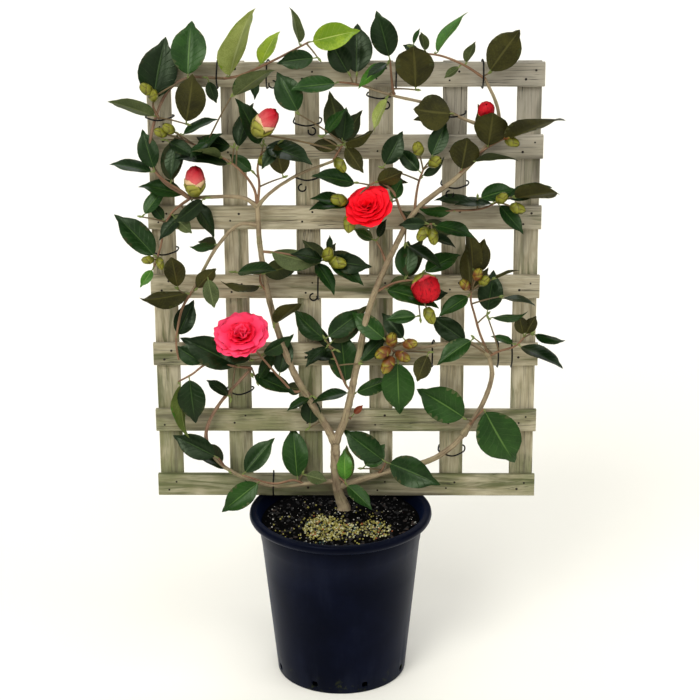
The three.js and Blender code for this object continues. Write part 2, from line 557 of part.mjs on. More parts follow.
/** The stem of a mass with its blooms, from inside its limb, cut clear of what grew before it. */
function stemOf(mass, swollen) {
  const curve = wayCurve(mass.stem, mass.out);
  const steps = Math.max(3, Math.round(curve.getLength() / TWIG.stemStep));
  const radiusAt = (share) => between([TWIG.stemRadius, TWIG.radius], share);
  const whole = limbSolid(curve, radiusAt, TWIG.stemSides, steps);
  const grown = limbSolid(curve, (share) => radiusAt(share) + GAP, TWIG.stemSides, steps);
  const blooms = bloomsOf(mass, curve);
  return { curve, blooms, grown, solid: cutClear(wasm.Manifold.union([whole, ...blooms]), swollen) };
}

/** One mass of foliage: its stem, shoots, leaves, buds and blooms fused into one body. */
function massSolid(mass, stem, seed, blockers, swollen) {
  const random = seededRandom(seed);
  const pieces = [stem.solid];
  const own = stem.blooms.map(boxed);
  for (const shoot of mass.shoots) {
    const [along, wanted, length] = shoot;
    const root = rootOn(stem.curve, along);
    const bare = length <= TWIG.bareLength;
    const heading = bare ? wanted : clearHeading(root, wanted, length, blockers);
    if (heading !== null) {
      const end = root.clone().addScaledVector(direction(heading, TWIG.tilt), length);
      if (!bare && !runsOn(shoot)) {
        pieces.push(twigSolid(root, end, TWIG.radius, TWIG.tipRadius));
      }
      pieces.push(...shootLeaves(root, bare ? root : end, shoot, mass.turned, random, blockers, own));
    }
  }
  for (const [along, wanted, stalk, size] of mass.buds) {
    const root = rootOn(stem.curve, along);
    const heading = clearHeading(root, wanted, stalk + size, blockers);
    const bud = budSolid(root, direction(heading ?? wanted, BUD.tilt), stalk, size);
    if (heading !== null && isClear(bud, blockers)) {
      pieces.push(bud);
    }
  }
  return cutClear(wasm.Manifold.union(pieces), swollen);
}

/** A named piece of the plant, pot or trellis. */
function piece(name, geometry, look) {
  const mesh = new THREE.Mesh(geometry, new THREE.MeshStandardMaterial(look));
  mesh.name = name;
  return mesh;
}

/** The pot's outer radius at a height below its lip. */
function potRadius(height) {
  if (height < POT.stepHeight) {
    return between([POT.baseRadius, POT.stepRadius], height / POT.stepHeight);
  }
  const share = (height - POT.stepHeight) / (POT.shoulderHeight - POT.stepHeight);
  return between([POT.stepRadius + 1, POT.shoulderRadius], share);
}

/** The pot: a tapered wall with a rolled lip, a flat floor and drain holes low in the wall. */
function potGeometry() {
  const { height, lipRadius, lipWidth, wall, shoulderHeight } = POT;
  const lipInner = lipRadius - lipWidth;
  const outline = [
    [0, 0], [POT.baseRadius - 2, 0], [potRadius(2.5), 2.5], [POT.stepRadius, POT.stepHeight],
    [POT.stepRadius + 1, POT.stepHeight + 1.5], [POT.shoulderRadius, shoulderHeight],
    [lipRadius - 3, height - 13], [lipRadius, height - 7], [lipRadius - 1.5, height - 1.5],
    [lipRadius - 4, height], [lipInner + 3, height], [lipInner, height - 3],
    [POT.shoulderRadius - wall, POT.innerTop],
    [potRadius(wall) - wall, wall], [0, wall],
  ].map(([radius, z]) => new THREE.Vector2(radius, z));
  const lathe = new THREE.LatheGeometry(outline, POT.sides);
  lathe.rotateX(Math.PI / 2);
  let pot = solidOf(lathe);
  for (let i = 0; i < POT.holes; i += 1) {
    const hole = new THREE.BoxGeometry(wall * 6, POT.holeSize, POT.holeSize);
    hole.translate(potRadius(POT.holeHeight), 0, POT.holeHeight);
    hole.rotateZ((i / POT.holes) * Math.PI * 2 + THREE.MathUtils.degToRad(POT.holeTurn));
    pot = pot.subtract(solidOf(hole));
  }
  return geometryOf(pot);
}

/** The mix that fills the pot, clear of its floor and wall. */
function soilGeometry() {
  const wallFoot = potRadius(POT.wall) - POT.wall;
  const wallTop = POT.shoulderRadius - POT.wall;
  const inner = (z) => between([wallFoot, wallTop], (z - POT.wall) / (POT.innerTop - POT.wall)) - 2 * GAP;
  const floor = POT.wall + GAP;
  const outline = [[0, floor], [inner(floor), floor], [inner(SOIL.top), SOIL.top], [0, SOIL.top]]
    .map(([radius, z]) => new THREE.Vector2(radius, z));
  return new THREE.LatheGeometry(outline, POT.sides).rotateX(Math.PI / 2);
}

/** The trellis: level rails in front of upright laths, with its foot on the pot's rim. */
function trellisGroup() {
  const { pitch, lathWidth, thickness, overhang, rails, laths, centreX, frontY, foot } = TRELLIS;
  const group = new THREE.Group();
  group.position.set(centreX, frontY, foot);
  const railLength = (laths - 1) * pitch + lathWidth + 2 * overhang;
  const lathLength = (rails - 1) * pitch + lathWidth;
  for (let i = 0; i < rails; i += 1) {
    const shape = new THREE.BoxGeometry(railLength, thickness, lathWidth);
    const rail = piece(`rail_${i + 1}`, shape, COLOURS.timber);
    rail.position.set(0, thickness / 2, lathWidth / 2 + i * pitch);
    group.add(rail);
  }
  for (let i = 0; i < laths; i += 1) {
    const shape = new THREE.BoxGeometry(lathWidth, thickness, lathLength);
    const lath = piece(`lath_${i + 1}`, shape, COLOURS.timber);
    lath.position.set((i - (laths - 1) / 2) * pitch, thickness * 1.5, lathLength / 2);
    group.add(lath);
  }
  return group;
}

/** The solids of a group's meshes where they stand. */
function standingSolids(group) {
  group.updateMatrixWorld(true);
  const found = [];
  group.traverse((node) => {
    if (node.isMesh) {
      found.push(boxed(solidOf(node.geometry.clone().applyMatrix4(node.matrixWorld))));
    }
  });
  return found;
}

/** The limbs, each cut clear of those before it. */
function growLimbs(plant, swollen, blockers) {
  for (const limb of LIMBS) {
    const curve = wayCurve(limb.way, limb.out);
    const length = curve.getLength();
    const flare = limb.flare ?? 0;
    const radiusAt = (share) => between(limb.thick, share) + flare * Math.exp((-share * length) / 14);
    const sides = limb.sides ?? 6;
    const whole = limbSolid(curve, radiusAt, sides, limb.steps);
    const solid = cutClear(whole, swollen);
    swollen.push(boxed(limbSolid(curve, (share) => radiusAt(share) + GAP, sides, limb.steps)));
    blockers.push(boxed(solid));
    plant.add(piece(limb.name, geometryOf(solid), COLOURS.bark));
  }
}

/** The masses of foliage: all the stems first, then each mass clear of all that is there. */
function growMasses(plant, swollen, blockers) {
  const stems = MASSES.map((mass) => {
    const stem = stemOf(mass, swollen);
    swollen.push(boxed(stem.grown));
    return stem;
  });
  const firstStem = swollen.length - stems.length;
  MASSES.forEach((mass, i) => {
    const otherStems = stems.filter((_, k) => k > i).map((stem) => boxed(stem.solid));
    const otherSwollen = swollen.filter((_, k) => k !== firstStem + i);
    const solid = massSolid(mass, stems[i], 101 + i * 37, [...blockers, ...otherStems], otherSwollen);
    blockers.push(boxed(solid));
    plant.add(piece(mass.name, geometryOf(solid), COLOURS.foliage));
  });
}

const camellia = new THREE.Group();
const container = new THREE.Group();
container.add(piece('pot', potGeometry(), COLOURS.pot), piece('soil', soilGeometry(), COLOURS.soil));
const trellis = trellisGroup();
const plant = new THREE.Group();
camellia.add(container, trellis, plant);

const swollen = [];
const blockers = [...standingSolids(container), ...standingSolids(trellis)];
growLimbs(plant, swollen, blockers);
growMasses(plant, swollen, blockers);

export default camellia;
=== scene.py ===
"""A camellia in flower, trained flat on a square timber trellis, in a nursery pot.

Sizes are in millimetres unless a name says otherwise, and a mesh is made in metres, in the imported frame:
+Z up, the front towards -Y, and the origin at the centre of the pot's flat underside. Places on the plant are
given as (x, z) with a distance out, towards the front, from the trellis rails. A heading is degrees clockwise
from straight up, as seen from the front.
"""

import logging
from collections.abc import Callable, Iterable, Iterator
from dataclasses import dataclass, field, replace
from enum import Enum
from functools import cache
from math import acos, copysign, cos, degrees, exp, hypot, pi, radians, sin, sqrt, tan

import bmesh
import bpy
import numpy as np
from mathutils import Matrix, Vector, noise
from mathutils.bvhtree import BVHTree


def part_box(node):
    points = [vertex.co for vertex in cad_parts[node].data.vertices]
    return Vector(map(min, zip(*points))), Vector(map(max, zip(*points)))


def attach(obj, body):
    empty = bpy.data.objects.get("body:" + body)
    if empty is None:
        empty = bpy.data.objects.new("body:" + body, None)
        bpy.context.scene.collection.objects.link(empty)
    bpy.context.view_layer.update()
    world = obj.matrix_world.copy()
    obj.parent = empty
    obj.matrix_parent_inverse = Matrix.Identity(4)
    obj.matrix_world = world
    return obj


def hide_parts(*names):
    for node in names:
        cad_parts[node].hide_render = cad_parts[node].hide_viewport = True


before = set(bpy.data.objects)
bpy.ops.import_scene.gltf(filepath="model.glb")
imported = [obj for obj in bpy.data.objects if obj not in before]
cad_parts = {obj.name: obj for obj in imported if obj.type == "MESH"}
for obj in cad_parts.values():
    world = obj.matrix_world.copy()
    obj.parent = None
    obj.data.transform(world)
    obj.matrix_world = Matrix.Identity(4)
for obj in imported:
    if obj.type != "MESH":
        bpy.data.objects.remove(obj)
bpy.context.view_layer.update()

log = logging.getLogger("camellia")

MM = 0.001
FRONT_Y = 53.0
SOIL_TOP = 272.0
TRUNK_FOOT = (5.0, 33.0)
BODY = "root"
VIEW_PITCH = 20.455

Array = np.ndarray
Material = bpy.types.Material
Piece = bpy.types.Object
Station = tuple[float, float]


def paint(code: str) -> tuple[float, float, float, float]:
    """A colour written as #rrggbb, in the linear values that a shader takes.

    Args:
        code: The colour as it looks on a screen.

    Returns:
        Red, green, blue and an opaque alpha.
    """
    parts = [int(code[i:i + 2], 16) / 255 for i in (1, 3, 5)]
    linear = [p / 12.92 if p <= 0.04045 else ((p + 0.055) / 1.055) ** 2.4 for p in parts]
    return (*linear, 1.0)


def blend(low: float, high: float, share: float) -> float:
    """The value that lies a share of the way from low to high."""
    return low + (high - low) * share


def maths(operation: str, swapped: bool = False) -> Callable[..., "Wire"]:
    """An operator of Wire, which adds a Math node.

    Args:
        operation: What the node does.
        swapped: Whether the other value comes first.

    Returns:
        The operator, on a Wire and another Wire or number.
    """
    def operator(self: "Wire", other: "Wire | float" = 0.0) -> "Wire":
        """The Wire of the node's result."""
        first, second = (other, self) if swapped else (self, other)
        return self.nodes.node("ShaderNodeMath", {"operation": operation}, {0: first, 1: second})
    return operator


class Wire:
    """A socket that takes part in sums written with Python's operators."""

    def __init__(self, nodes: "Nodes", socket: bpy.types.NodeSocket) -> None:
        """Holds a socket and the nodes that it belongs to."""
        self.nodes = nodes
        self.socket = socket

    __add__, __radd__ = maths("ADD"), maths("ADD", True)
    __sub__, __rsub__ = maths("SUBTRACT"), maths("SUBTRACT", True)
    __mul__, __rmul__ = maths("MULTIPLY"), maths("MULTIPLY", True)
    __abs__, part = maths("ABSOLUTE"), maths("FRACT")

    def step(self, low: float, high: float) -> "Wire":
        """Self as a soft step.

        Args:
            low: Where the result is 0.
            high: Where it is 1, above low or below it.

        Returns:
            The Wire of the step.
        """
        inputs = {"Value": self, "From Min": min(low, high), "From Max": max(low, high)}
        rise = self.nodes.node("ShaderNodeMapRange", {"interpolation_type": "SMOOTHSTEP"}, inputs)
        return rise if low < high else 1 - rise


class Nodes:
    """The nodes of a material or of the world."""

    def __init__(self, owner: "Material | bpy.types.World") -> None:
        """Turns the owner's nodes on."""
        owner.use_nodes = True
        self.tree = owner.node_tree

    def node(self, kind: str, settings: dict | None = None, inputs: dict | None = None,
             output: int | str = 0) -> Wire:
        """Adds a node.

        Args:
            kind: The node's type.
            settings: Its properties.
            inputs: A value or a Wire for each socket, by name or number.
            output: The output that the Wire stands for.

        Returns:
            The Wire of that output.
        """
        made = self.tree.nodes.new(kind)
        for key, value in (settings or {}).items():
            setattr(made, key, value)
        for key, value in (inputs or {}).items():
            self.feed(made.inputs[key], value)
        return Wire(self, made.outputs[output])

    def feed(self, socket: bpy.types.NodeSocket, value: object) -> None:
        """Links a Wire to a socket, or sets the socket's own value.

        Args:
            socket: The socket.
            value: The Wire or the value.
        """
        if isinstance(value, Wire):
            self.tree.links.new(value.socket, socket)
        else:
            socket.default_value = value

    def axis(self, vector: Wire, letter: str) -> Wire:
        """One coordinate of a vector."""
        return self.node("ShaderNodeSeparateXYZ", None, {0: vector}, letter)

    def clouds(self, vector: Wire, scale: float, detail: float = 4.0, rough: float = 0.55,
               warp: float = 0.0) -> Wire:
        """Fractal noise from 0 to 1."""
        inputs = {"Vector": vector, "Scale": scale, "Detail": detail, "Roughness": rough, "Distortion": warp}
        return self.node("ShaderNodeTexNoise", None, inputs)


class Shader(Nodes):
    """The nodes of one material, round its principled shader."""

    def __init__(self, name: str) -> None:
        """Makes an empty material of that name."""
        self.material = bpy.data.materials.new(name)
        super().__init__(self.material)

    def place(self) -> Wire:
        """The object coordinates, in metres."""
        return self.node("ShaderNodeTexCoord", output="Object")

    def sheet(self) -> tuple[Wire, Wire]:
        """The two coordinates of the piece's own UV map."""
        at = self.node("ShaderNodeUVMap", {"uv_map": Gather.UV_NAME})
        return self.axis(at, "X"), self.axis(at, "Y")

    def stretched(self, vector: Wire, scale: tuple[float, float, float], turn: float = 0.0) -> Wire:
        """A vector scaled along each axis and turned, for a pattern that is longer one way."""
        inputs = {"Vector": vector, "Scale": scale, "Rotation": (0.0, turn, 0.0)}
        return self.node("ShaderNodeMapping", None, inputs)

    def grains(self, vector: Wire, scale: float) -> Wire:
        """The distance to the nearest of many scattered points."""
        return self.node("ShaderNodeTexVoronoi", None, {"Vector": vector, "Scale": scale})

    def coats(self, base: str, *coats: tuple[Wire, str]) -> Wire:
        """A colour under coats of others.

        Args:
            base: The written colour underneath.
            coats: The share from 0 to 1 and the written colour of each coat, in the order they are laid on.

        Returns:
            The Wire of the colour.
        """
        below = paint(base)
        for share, colour in coats:
            inputs = {0: share, 6: below, 7: paint(colour)}
            below = self.node("ShaderNodeMix", {"data_type": "RGBA"}, inputs, 2)
        return below

    def done(self, colour: Wire, rough: Wire | float, height: Wire | None = None, depth: float = 0.1,
             **fixed: float | tuple[float, ...]) -> Material:
        """Feeds the principled shader.

        Args:
            colour: The base colour.
            rough: The roughness.
            height: The relief from 0 to 1, if there is one.
            depth: How deep the relief is.
            fixed: Values for the shader's other sockets, with _ for a space.

        Returns:
            The material.
        """
        sockets = self.tree.nodes["Principled BSDF"].inputs
        self.feed(sockets["Base Color"], colour)
        self.feed(sockets["Roughness"], rough)
        if height is not None:
            bump = {"Height": height, "Distance": depth * MM, "Strength": 1.0}
            self.feed(sockets["Normal"], self.node("ShaderNodeBump", None, bump))
        for name, value in fixed.items():
            sockets[name.replace("_", " ").title().replace("Ior", "IOR")].default_value = value
        return self.material


@dataclass(frozen=True)
class Finish:
    """What a surface is made of."""

    name: str

    def make(self, shader: Shader, at: Wire) -> Material:
        """Sets up a new material of this finish.

        Args:
            shader: The new material's nodes.
            at: The place on the piece, in metres.

        Returns:
            The material.
        """
        raise NotImplementedError


@cache
def material(finish: Finish) -> Material:
    """The material of a finish, made once."""
    shader = Shader(finish.name)
    return finish.make(shader, shader.place())


@dataclass(frozen=True)
class PotPlastic(Finish):
    """Black moulded plastic with a blue cast, a little dusty and scuffed."""

    colour: str = "#03040d"
    worn: str = "#070a1a"
    dust: str = "#3c4352"
    moss: str = "#3b3f14"

    def make(self, shader: Shader, at: Wire) -> Material:
        """The material, as Finish says."""
        cloud = shader.clouds(at, 9, 5)
        runs = shader.clouds(shader.stretched(at, (1, 1, 0.08)), 70, 3)
        speck = shader.clouds(at, 900, 2)
        scuff = shader.clouds(shader.stretched(at, (0.3, 0.3, 1)), 120, 6, 0.7)
        height = shader.axis(at, "Z")
        dusty = (cloud * 0.55 + runs * 0.45 + height.step(0.09, 0.0) * 0.12).step(0.5, 0.78)
        green = height.step(0.034, 0.014) * shader.clouds(at, 60, 5, 0.7).step(0.54, 0.7)
        colour = shader.coats(
            self.colour, (cloud.step(0.35, 0.75), self.worn), (scuff.step(0.68, 0.82) * 0.2, self.dust),
            (dusty * 0.08, self.dust), (green * 0.6, self.moss))
        return shader.done(colour, 0.3 + dusty * 0.22 + speck * 0.1, speck * 0.5 + scuff * 0.5, 0.05,
                           specular_ior_level=0.05, specular_tint=paint("#cfdcff"), sheen_weight=0.1,
                           sheen_tint=paint("#3a5a9c"))


@dataclass(frozen=True)
class Compost(Finish):
    """The dark, open mix in the pot."""

    wet: str = "#020202"
    dry: str = "#0b0907"
    fibre: str = "#2a2118"

    def make(self, shader: Shader, at: Wire) -> Material:
        """The material, as Finish says."""
        cloud = shader.clouds(at, 60, 8, 0.7)
        fibre = shader.clouds(shader.stretched(at, (1, 0.2, 1), 0.6), 500, 3)
        colour = shader.coats(
            self.wet, (cloud.step(0.45, 0.75), self.dry), (fibre.step(0.66, 0.74) * 0.6, self.fibre))
        relief = shader.grains(at, 260) * 0.6 + cloud * 0.4
        return shader.done(colour, 0.94, relief, 1.6, specular_ior_level=0.04)


@dataclass(frozen=True)
class Grain(Finish):
    """Something loose on the mix: perlite, feed pellets or chips of bark."""

    colour: str
    shade: str
    rough: float = 0.7
    scale: float = 400.0

    def make(self, shader: Shader, at: Wire) -> Material:
        """The material, as Finish says."""
        cloud = shader.clouds(at, self.scale, 5, 0.65)
        patch = shader.clouds(at, self.scale * 0.2, 2)
        colour = shader.coats(self.shade, ((cloud * 0.6 + patch * 0.4).step(0.36, 0.66), self.colour))
        return shader.done(colour, self.rough + cloud * 0.15, cloud, 0.4)


@dataclass(frozen=True)
class WeatheredPine(Finish):
    """Sawn pine after years outdoors: grey-tan, streaked along its grain, greener where it stays damp."""

    along_x: bool
    pale: str = "#b9af93"
    tan: str = "#94896b"
    grey: str = "#9f998b"
    dark: str = "#3d3728"
    algae: str = "#606b39"
    moss: str = "#444c1f"
    split: str = "#241f16"

    def make(self, shader: Shader, at: Wire) -> Material:
        """The material, as Finish says."""
        board = shader.node("ShaderNodeAttribute", {"attribute_name": Trellis.BOARD_NAME}, output="Fac")
        shift = shader.node("ShaderNodeCombineXYZ", None, {0: board * 3.7, 1: board * 1.9, 2: board * 2.3})
        moved = shader.node("ShaderNodeVectorMath", {"operation": "ADD"}, {0: at, 1: shift})
        narrow, broad = (
            shader.stretched(moved, (s, 1, 1) if self.along_x else (1, 1, s)) for s in (0.02, 0.12))
        fine = shader.clouds(narrow, 620, 5, 0.62, 0.25)
        streak = shader.clouds(broad, 105, 4, 0.6, 0.8)
        stain = shader.clouds(broad, 34, 3)
        green = shader.clouds(broad, 52, 4, 0.6, 0.6)
        patch = shader.clouds(moved, 11, 4)
        height, side = shader.axis(at, "Z"), shader.axis(at, "X")
        damp = height.step(0.86, 0.3) * 0.3 + side.step(0.2, -0.32) * 0.1 + patch * 0.66
        aged = height.step(0.55, 1.0) * 0.45 + side.step(-0.1, 0.33) * 0.3 + patch * 0.35
        middle = abs(shader.clouds(narrow, 190, 2, 0.5, 0.1) - 0.5)
        # The dark colour in the splits, which the bump also sinks, is painted shade in the splits.
        crack = middle.step(0.012, 0.0) * patch.step(0.5, 0.58)
        wood = shader.coats(
            self.tan, (streak.step(0.32, 0.68), self.pale), (aged.step(0.45, 0.95) * 0.75, self.grey),
            (damp.step(0.5, 0.8) * 0.72, self.algae), (fine.step(0.47, 0.33) * 0.55, self.dark),
            (stain.step(0.54, 0.7) * 0.62, self.dark),
            (green.step(0.52, 0.66) * height.step(1.15, 0.6) * 0.72, self.moss), (crack * 0.75, self.split))
        return shader.done(wood, 0.78 + fine * 0.16, fine * 0.6 + streak * 0.4 - crack, 0.5)


@dataclass(frozen=True)
class Bark(Finish):
    """Bark along a limb, whose UV map runs once round and a unit to each 100 mm along it."""

    pale: str
    brown: str
    dark: str
    moss: float = 0.0
    rough: float = 0.8

    def make(self, shader: Shader, at: Wire) -> Material:
        """The material, as Finish says."""
        around, along = shader.sheet()
        skin = shader.node("ShaderNodeCombineXYZ", None, {0: around, 1: along * 0.9, 2: 0.0})
        ridge = shader.clouds(shader.stretched(skin, (9, 2.2, 1)), 1.6, 6, 0.66, 0.5)
        band = shader.clouds(shader.stretched(skin, (1.2, 26, 1)), 1.5, 3, 0.6)
        patch = shader.clouds(at, 45, 4)
        pore = shader.grains(shader.stretched(skin, (5, 13, 1)), 2.0)
        # The dark where the ridge noise is low, in the bump's furrows, is painted shade in the furrows.
        colour = shader.coats(
            self.brown, ((ridge * 0.5 + patch * 0.5).step(0.36, 0.62), self.pale),
            (band.step(0.58, 0.7) * 0.35, self.dark), (ridge.step(0.44, 0.34) * 0.6, self.dark),
            (pore.step(0.2, 0.08) * 0.35, self.pale),
            (shader.clouds(at, 26, 5).step(0.52, 0.72) * self.moss, "#5c6433"))
        return shader.done(colour, self.rough + patch * 0.12, ridge * 0.7 + band * 0.3, 0.35)


@dataclass(frozen=True)
class LeafSkin(Finish):
    """One side of a leaf. Its UV map runs across the blade and from stalk to tip."""

    dark: str
    light: str
    rib: str

    @staticmethod
    def off_vein(along: Wire, side: Wire, wander: Wire | float = 0.0) -> Wire:
        """How far a place lies from the side veins."""
        return abs((along * 8.5 - side * 2.6 + side * side * 0.9 + wander).part() - 0.5)


@dataclass(frozen=True)
class LeafFace(LeafSkin):
    """A leaf's glossy upper face."""

    rough: float = 0.25
    specular: float = 0.37

    def make(self, shader: Shader, at: Wire) -> Material:
        """The material, as Finish says."""
        across, along = shader.sheet()
        side = abs(across * 2 - 1)
        vein = self.off_vein(along, side, shader.clouds(at, 70, 2) * 0.5)
        line = vein.step(0.09, 0.0) * side.step(0.0, 0.08) * side.step(1.0, 0.82)
        rib = side.step(0.06, 0.015) * along.step(1.02, 0.5)
        patch, cell = shader.clouds(at, 22, 3), shader.clouds(at, 380, 4, 0.6)
        colour = shader.coats(self.dark, ((patch * 0.7 + cell * 0.3).step(0.38, 0.64), self.light),
                              (line * 0.1, self.rib), (rib * 0.6, self.rib))
        return shader.done(colour, self.rough + cell * 0.1 + line * 0.06,
                           1 - line * 0.5 - rib * 0.5 + cell * 0.12, 0.32,
                           specular_ior_level=self.specular, specular_tint=paint("#c6dcb2"))


@dataclass(frozen=True)
class LeafBack(LeafSkin):
    """A leaf's matt underside, with raised veins."""

    rough: float = 0.52

    def make(self, shader: Shader, at: Wire) -> Material:
        """The material, as Finish says."""
        across, along = shader.sheet()
        side = abs(across * 2 - 1)
        line = self.off_vein(along, side).step(0.08, 0.0) * side.step(1.0, 0.8)
        rib = side.step(0.09, 0.03)
        patch, cell = shader.clouds(at, 30, 4), shader.clouds(at, 500, 3)
        colour = shader.coats(self.dark, ((patch * 0.6 + cell * 0.4).step(0.36, 0.66), self.light),
                              (line * 0.08, self.rib), (rib * 0.45, self.rib))
        return shader.done(colour, self.rough + cell * 0.15, line * 0.6 + rib * 0.4 + cell * 0.1, 0.3,
                           specular_ior_level=0.15)


@dataclass(frozen=True)
class PetalSkin(Finish):
    """A petal's soft skin. Its UV map runs across the petal and from base to rim."""

    base: str
    rim: str
    shade: str
    mottle: float = 0.3

    def make(self, shader: Shader, at: Wire) -> Material:
        """The material, as Finish says."""
        across, along = shader.sheet()
        fan = shader.node("ShaderNodeCombineXYZ", None, {0: across * 26, 1: along * 2.2, 2: 0.0})
        vein = shader.clouds(fan, 1.0, 3, 0.6, 0.3)
        patch, blotch = shader.clouds(at, 60, 3), shader.clouds(at, 230, 3)
        colour = shader.coats(self.base, ((along + patch * 0.3).step(0.45, 1.2), self.rim),
                              ((vein * 0.6 + blotch * 0.4).step(0.48, 0.64) * self.mottle, self.shade))
        return shader.done(colour, 0.5 + vein * 0.14, vein * 0.7 + patch * 0.3, 0.25, specular_ior_level=0.16)


@dataclass(frozen=True)
class BudScale(Finish):
    """The scales round a bud. Its UV map runs across a scale and from its base to its tip."""

    base: str
    tip: str
    blush: str
    ripe: tuple[float, float] = (0.3, 1.1)

    def make(self, shader: Shader, at: Wire) -> Material:
        """The material, as Finish says."""
        across, along = shader.sheet()
        patch = shader.clouds(at, 130, 4)
        edge = abs(across * 2 - 1).step(0.6, 1.0)
        colour = shader.coats(
            self.base, ((along + patch * 0.3).step(*self.ripe), self.tip),
            ((edge * 0.5 + along * 0.5 + patch * 0.3).step(0.66, 1.05) * 0.85, self.blush))
        return shader.done(colour, 0.34 + patch * 0.15, patch, 0.15, specular_ior_level=0.3)


@dataclass(frozen=True)
class Clouded(Finish):
    """A colour clouded with a second one: wire's coating, rusty iron and the floor's paint."""

    first: str
    second: str
    scale: float
    detail: float
    edges: tuple[float, float]
    share: float = 1.0
    rough: tuple[float, float] = (0.85, 0.0)
    depth: float = 0.0
    metallic: float = 0.0
    specular: float = 0.5

    def make(self, shader: Shader, at: Wire) -> Material:
        """The material, as Finish says."""
        cloud = shader.clouds(at, self.scale, self.detail)
        colour = shader.coats(self.first, (cloud.step(*self.edges) * self.share, self.second))
        rough = self.rough[0] + cloud * self.rough[1]
        return shader.done(colour, rough, cloud if self.depth else None, self.depth, metallic=self.metallic,
                           specular_ior_level=self.specular)


TIE_WIRE = Clouded("tie_wire", "#060706", "#141512", 300, 3, (0.4, 0.7), rough=(0.38, 0.15), depth=0.05,
                   specular=0.12)
NAIL_IRON = Clouded("nail_iron", "#16120f", "#3d281a", 700, 4, (0.45, 0.7), rough=(0.6, 0.2), depth=0.15,
                    metallic=0.4)
FLOOR_PAINT = Clouded("studio_floor", "#fdfaed", "#fbf8ea", 1.5, 3, (0.3, 0.7), share=0.4)


class Tone(Enum):
    """The greens of the leaves: the dark, the light and the rib of a leaf's face, and those of its back."""

    # DARK, DEEP, MID and BRIGHT are steps of one green, partly the leaves' own age and partly painted light:
    # a leaf in shade took a darker step, a glossy leaf with a grey sheen a lighter one.
    DARK = ("#081606", "#12240c", "#3b5228"), ("#232a12", "#343b1e", "#5b6234")
    DEEP = ("#0c2008", "#193410", "#48632e"), ("#2a3016", "#3d4220", "#687038")
    MID = ("#14300b", "#244416", "#5f7f3d"), ("#3b4524", "#566038", "#7f8a56")
    BRIGHT = ("#28500f", "#457522", "#8aaa4e"), ("#46551f", "#5d6b30", "#8d9a57")
    LIME = ("#627f18", "#93a82e", "#bcc66e"), ("#869246", "#a8b266", "#c4cc90")
    OLIVE = ("#25270c", "#3d3d18", "#76743b"), ("#25240a", "#3e3c14", "#5f5c2c")
    RUST = ("#5e2010", "#84341a", "#9c5a34"), ("#5e2410", "#7c381e", "#9a6038")

    def slot(self, back: bool) -> int:
        """The material slot of its face or of its back."""
        return list(Tone).index(self) + back * len(Tone)

    @staticmethod
    def finishes() -> list[LeafSkin]:
        """The faces' finishes and then the backs', in the order of the slots."""
        faces = [LeafFace(f"leaf_{tone.name.lower()}", *tone.value[0]) for tone in Tone]
        return faces + [LeafBack(f"leaf_back_{tone.name.lower()}", *tone.value[1]) for tone in Tone]


class Bench:
    """The moves that a piece is modelled with."""

    @staticmethod
    def clear() -> None:
        """Leaves edit mode and deselects everything."""
        if bpy.context.object is not None and bpy.context.object.mode != "OBJECT":
            bpy.ops.object.mode_set(mode="OBJECT")
        bpy.ops.object.select_all(action="DESELECT")

    @staticmethod
    def take(piece: Piece) -> None:
        """Makes one piece the only one selected, and active."""
        Bench.clear()
        piece.select_set(True)
        bpy.context.view_layer.objects.active = piece

    @staticmethod
    def named(name: str) -> Piece:
        """Names the primitive that was just added, with its place and scale put into its mesh.

        Args:
            name: The name of the piece and its mesh.

        Returns:
            The piece.
        """
        piece = bpy.context.object
        piece.name = piece.data.name = name
        bpy.ops.object.transform_apply(location=True, rotation=True, scale=True)
        return piece

    @staticmethod
    def pick(piece: Piece, mode: str, chosen: Callable[[object], bool]) -> None:
        """Selects some faces or edges of the piece in edit mode, and no others.

        Args:
            piece: The piece.
            mode: FACE or EDGE.
            chosen: Says of a bmesh face or edge whether it is selected.
        """
        bpy.ops.mesh.select_mode(type=mode)
        bpy.ops.mesh.select_all(action="DESELECT")
        shape = bmesh.from_edit_mesh(piece.data)
        for part in (shape.faces if mode == "FACE" else shape.edges):
            part.select_set(chosen(part))
        shape.select_flush_mode()
        bmesh.update_edit_mesh(piece.data)

    @staticmethod
    def edit(piece: Piece, mode: str, chosen: Callable[[object], bool]) -> None:
        """Opens a piece in edit mode with some of its faces or edges selected, as pick does."""
        Bench.take(piece)
        bpy.ops.object.mode_set(mode="EDIT")
        Bench.pick(piece, mode, chosen)

    @staticmethod
    def modify(piece: Piece, kind: str, **settings: object) -> None:
        """Adds a modifier to a piece and applies it.

        Args:
            piece: The piece.
            kind: The modifier's type.
            settings: The modifier's settings.
        """
        Bench.take(piece)
        made = piece.modifiers.new(kind.lower(), kind)
        for key, value in settings.items():
            setattr(made, key, value)
        bpy.ops.object.modifier_apply(modifier=made.name)

    @staticmethod
    def carve(piece: Piece, move: Callable[[Vector], Vector]) -> None:
        """Moves each point of a piece, given in millimetres, by what a rule says."""
        for vertex in piece.data.vertices:
            vertex.co += move(vertex.co / MM) * MM

    @staticmethod
    def smooth(piece: Piece, angle: float) -> None:
        """Shades a piece smooth, with edges kept that are sharper than an angle in degrees."""
        Bench.take(piece)
        bpy.ops.object.shade_smooth_by_angle(angle=radians(angle))

    @staticmethod
    def finish(piece: Piece, slot: str, finishes: Iterable[Finish], *nodes: str) -> Piece:
        """Args:
            piece: The piece.
            slot: Not used.
            finishes: Its finishes, in the order of its material slots.
            nodes: The nodes that it stands for.

        Returns:
            The piece.
        """
        for finish in finishes:
            piece.data.materials.append(material(finish))
        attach(piece, BODY)
        if nodes:
            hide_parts(*nodes)
        log.info("%s: %d triangles", piece.name, sum(len(face.vertices) - 2 for face in piece.data.polygons))
        return piece


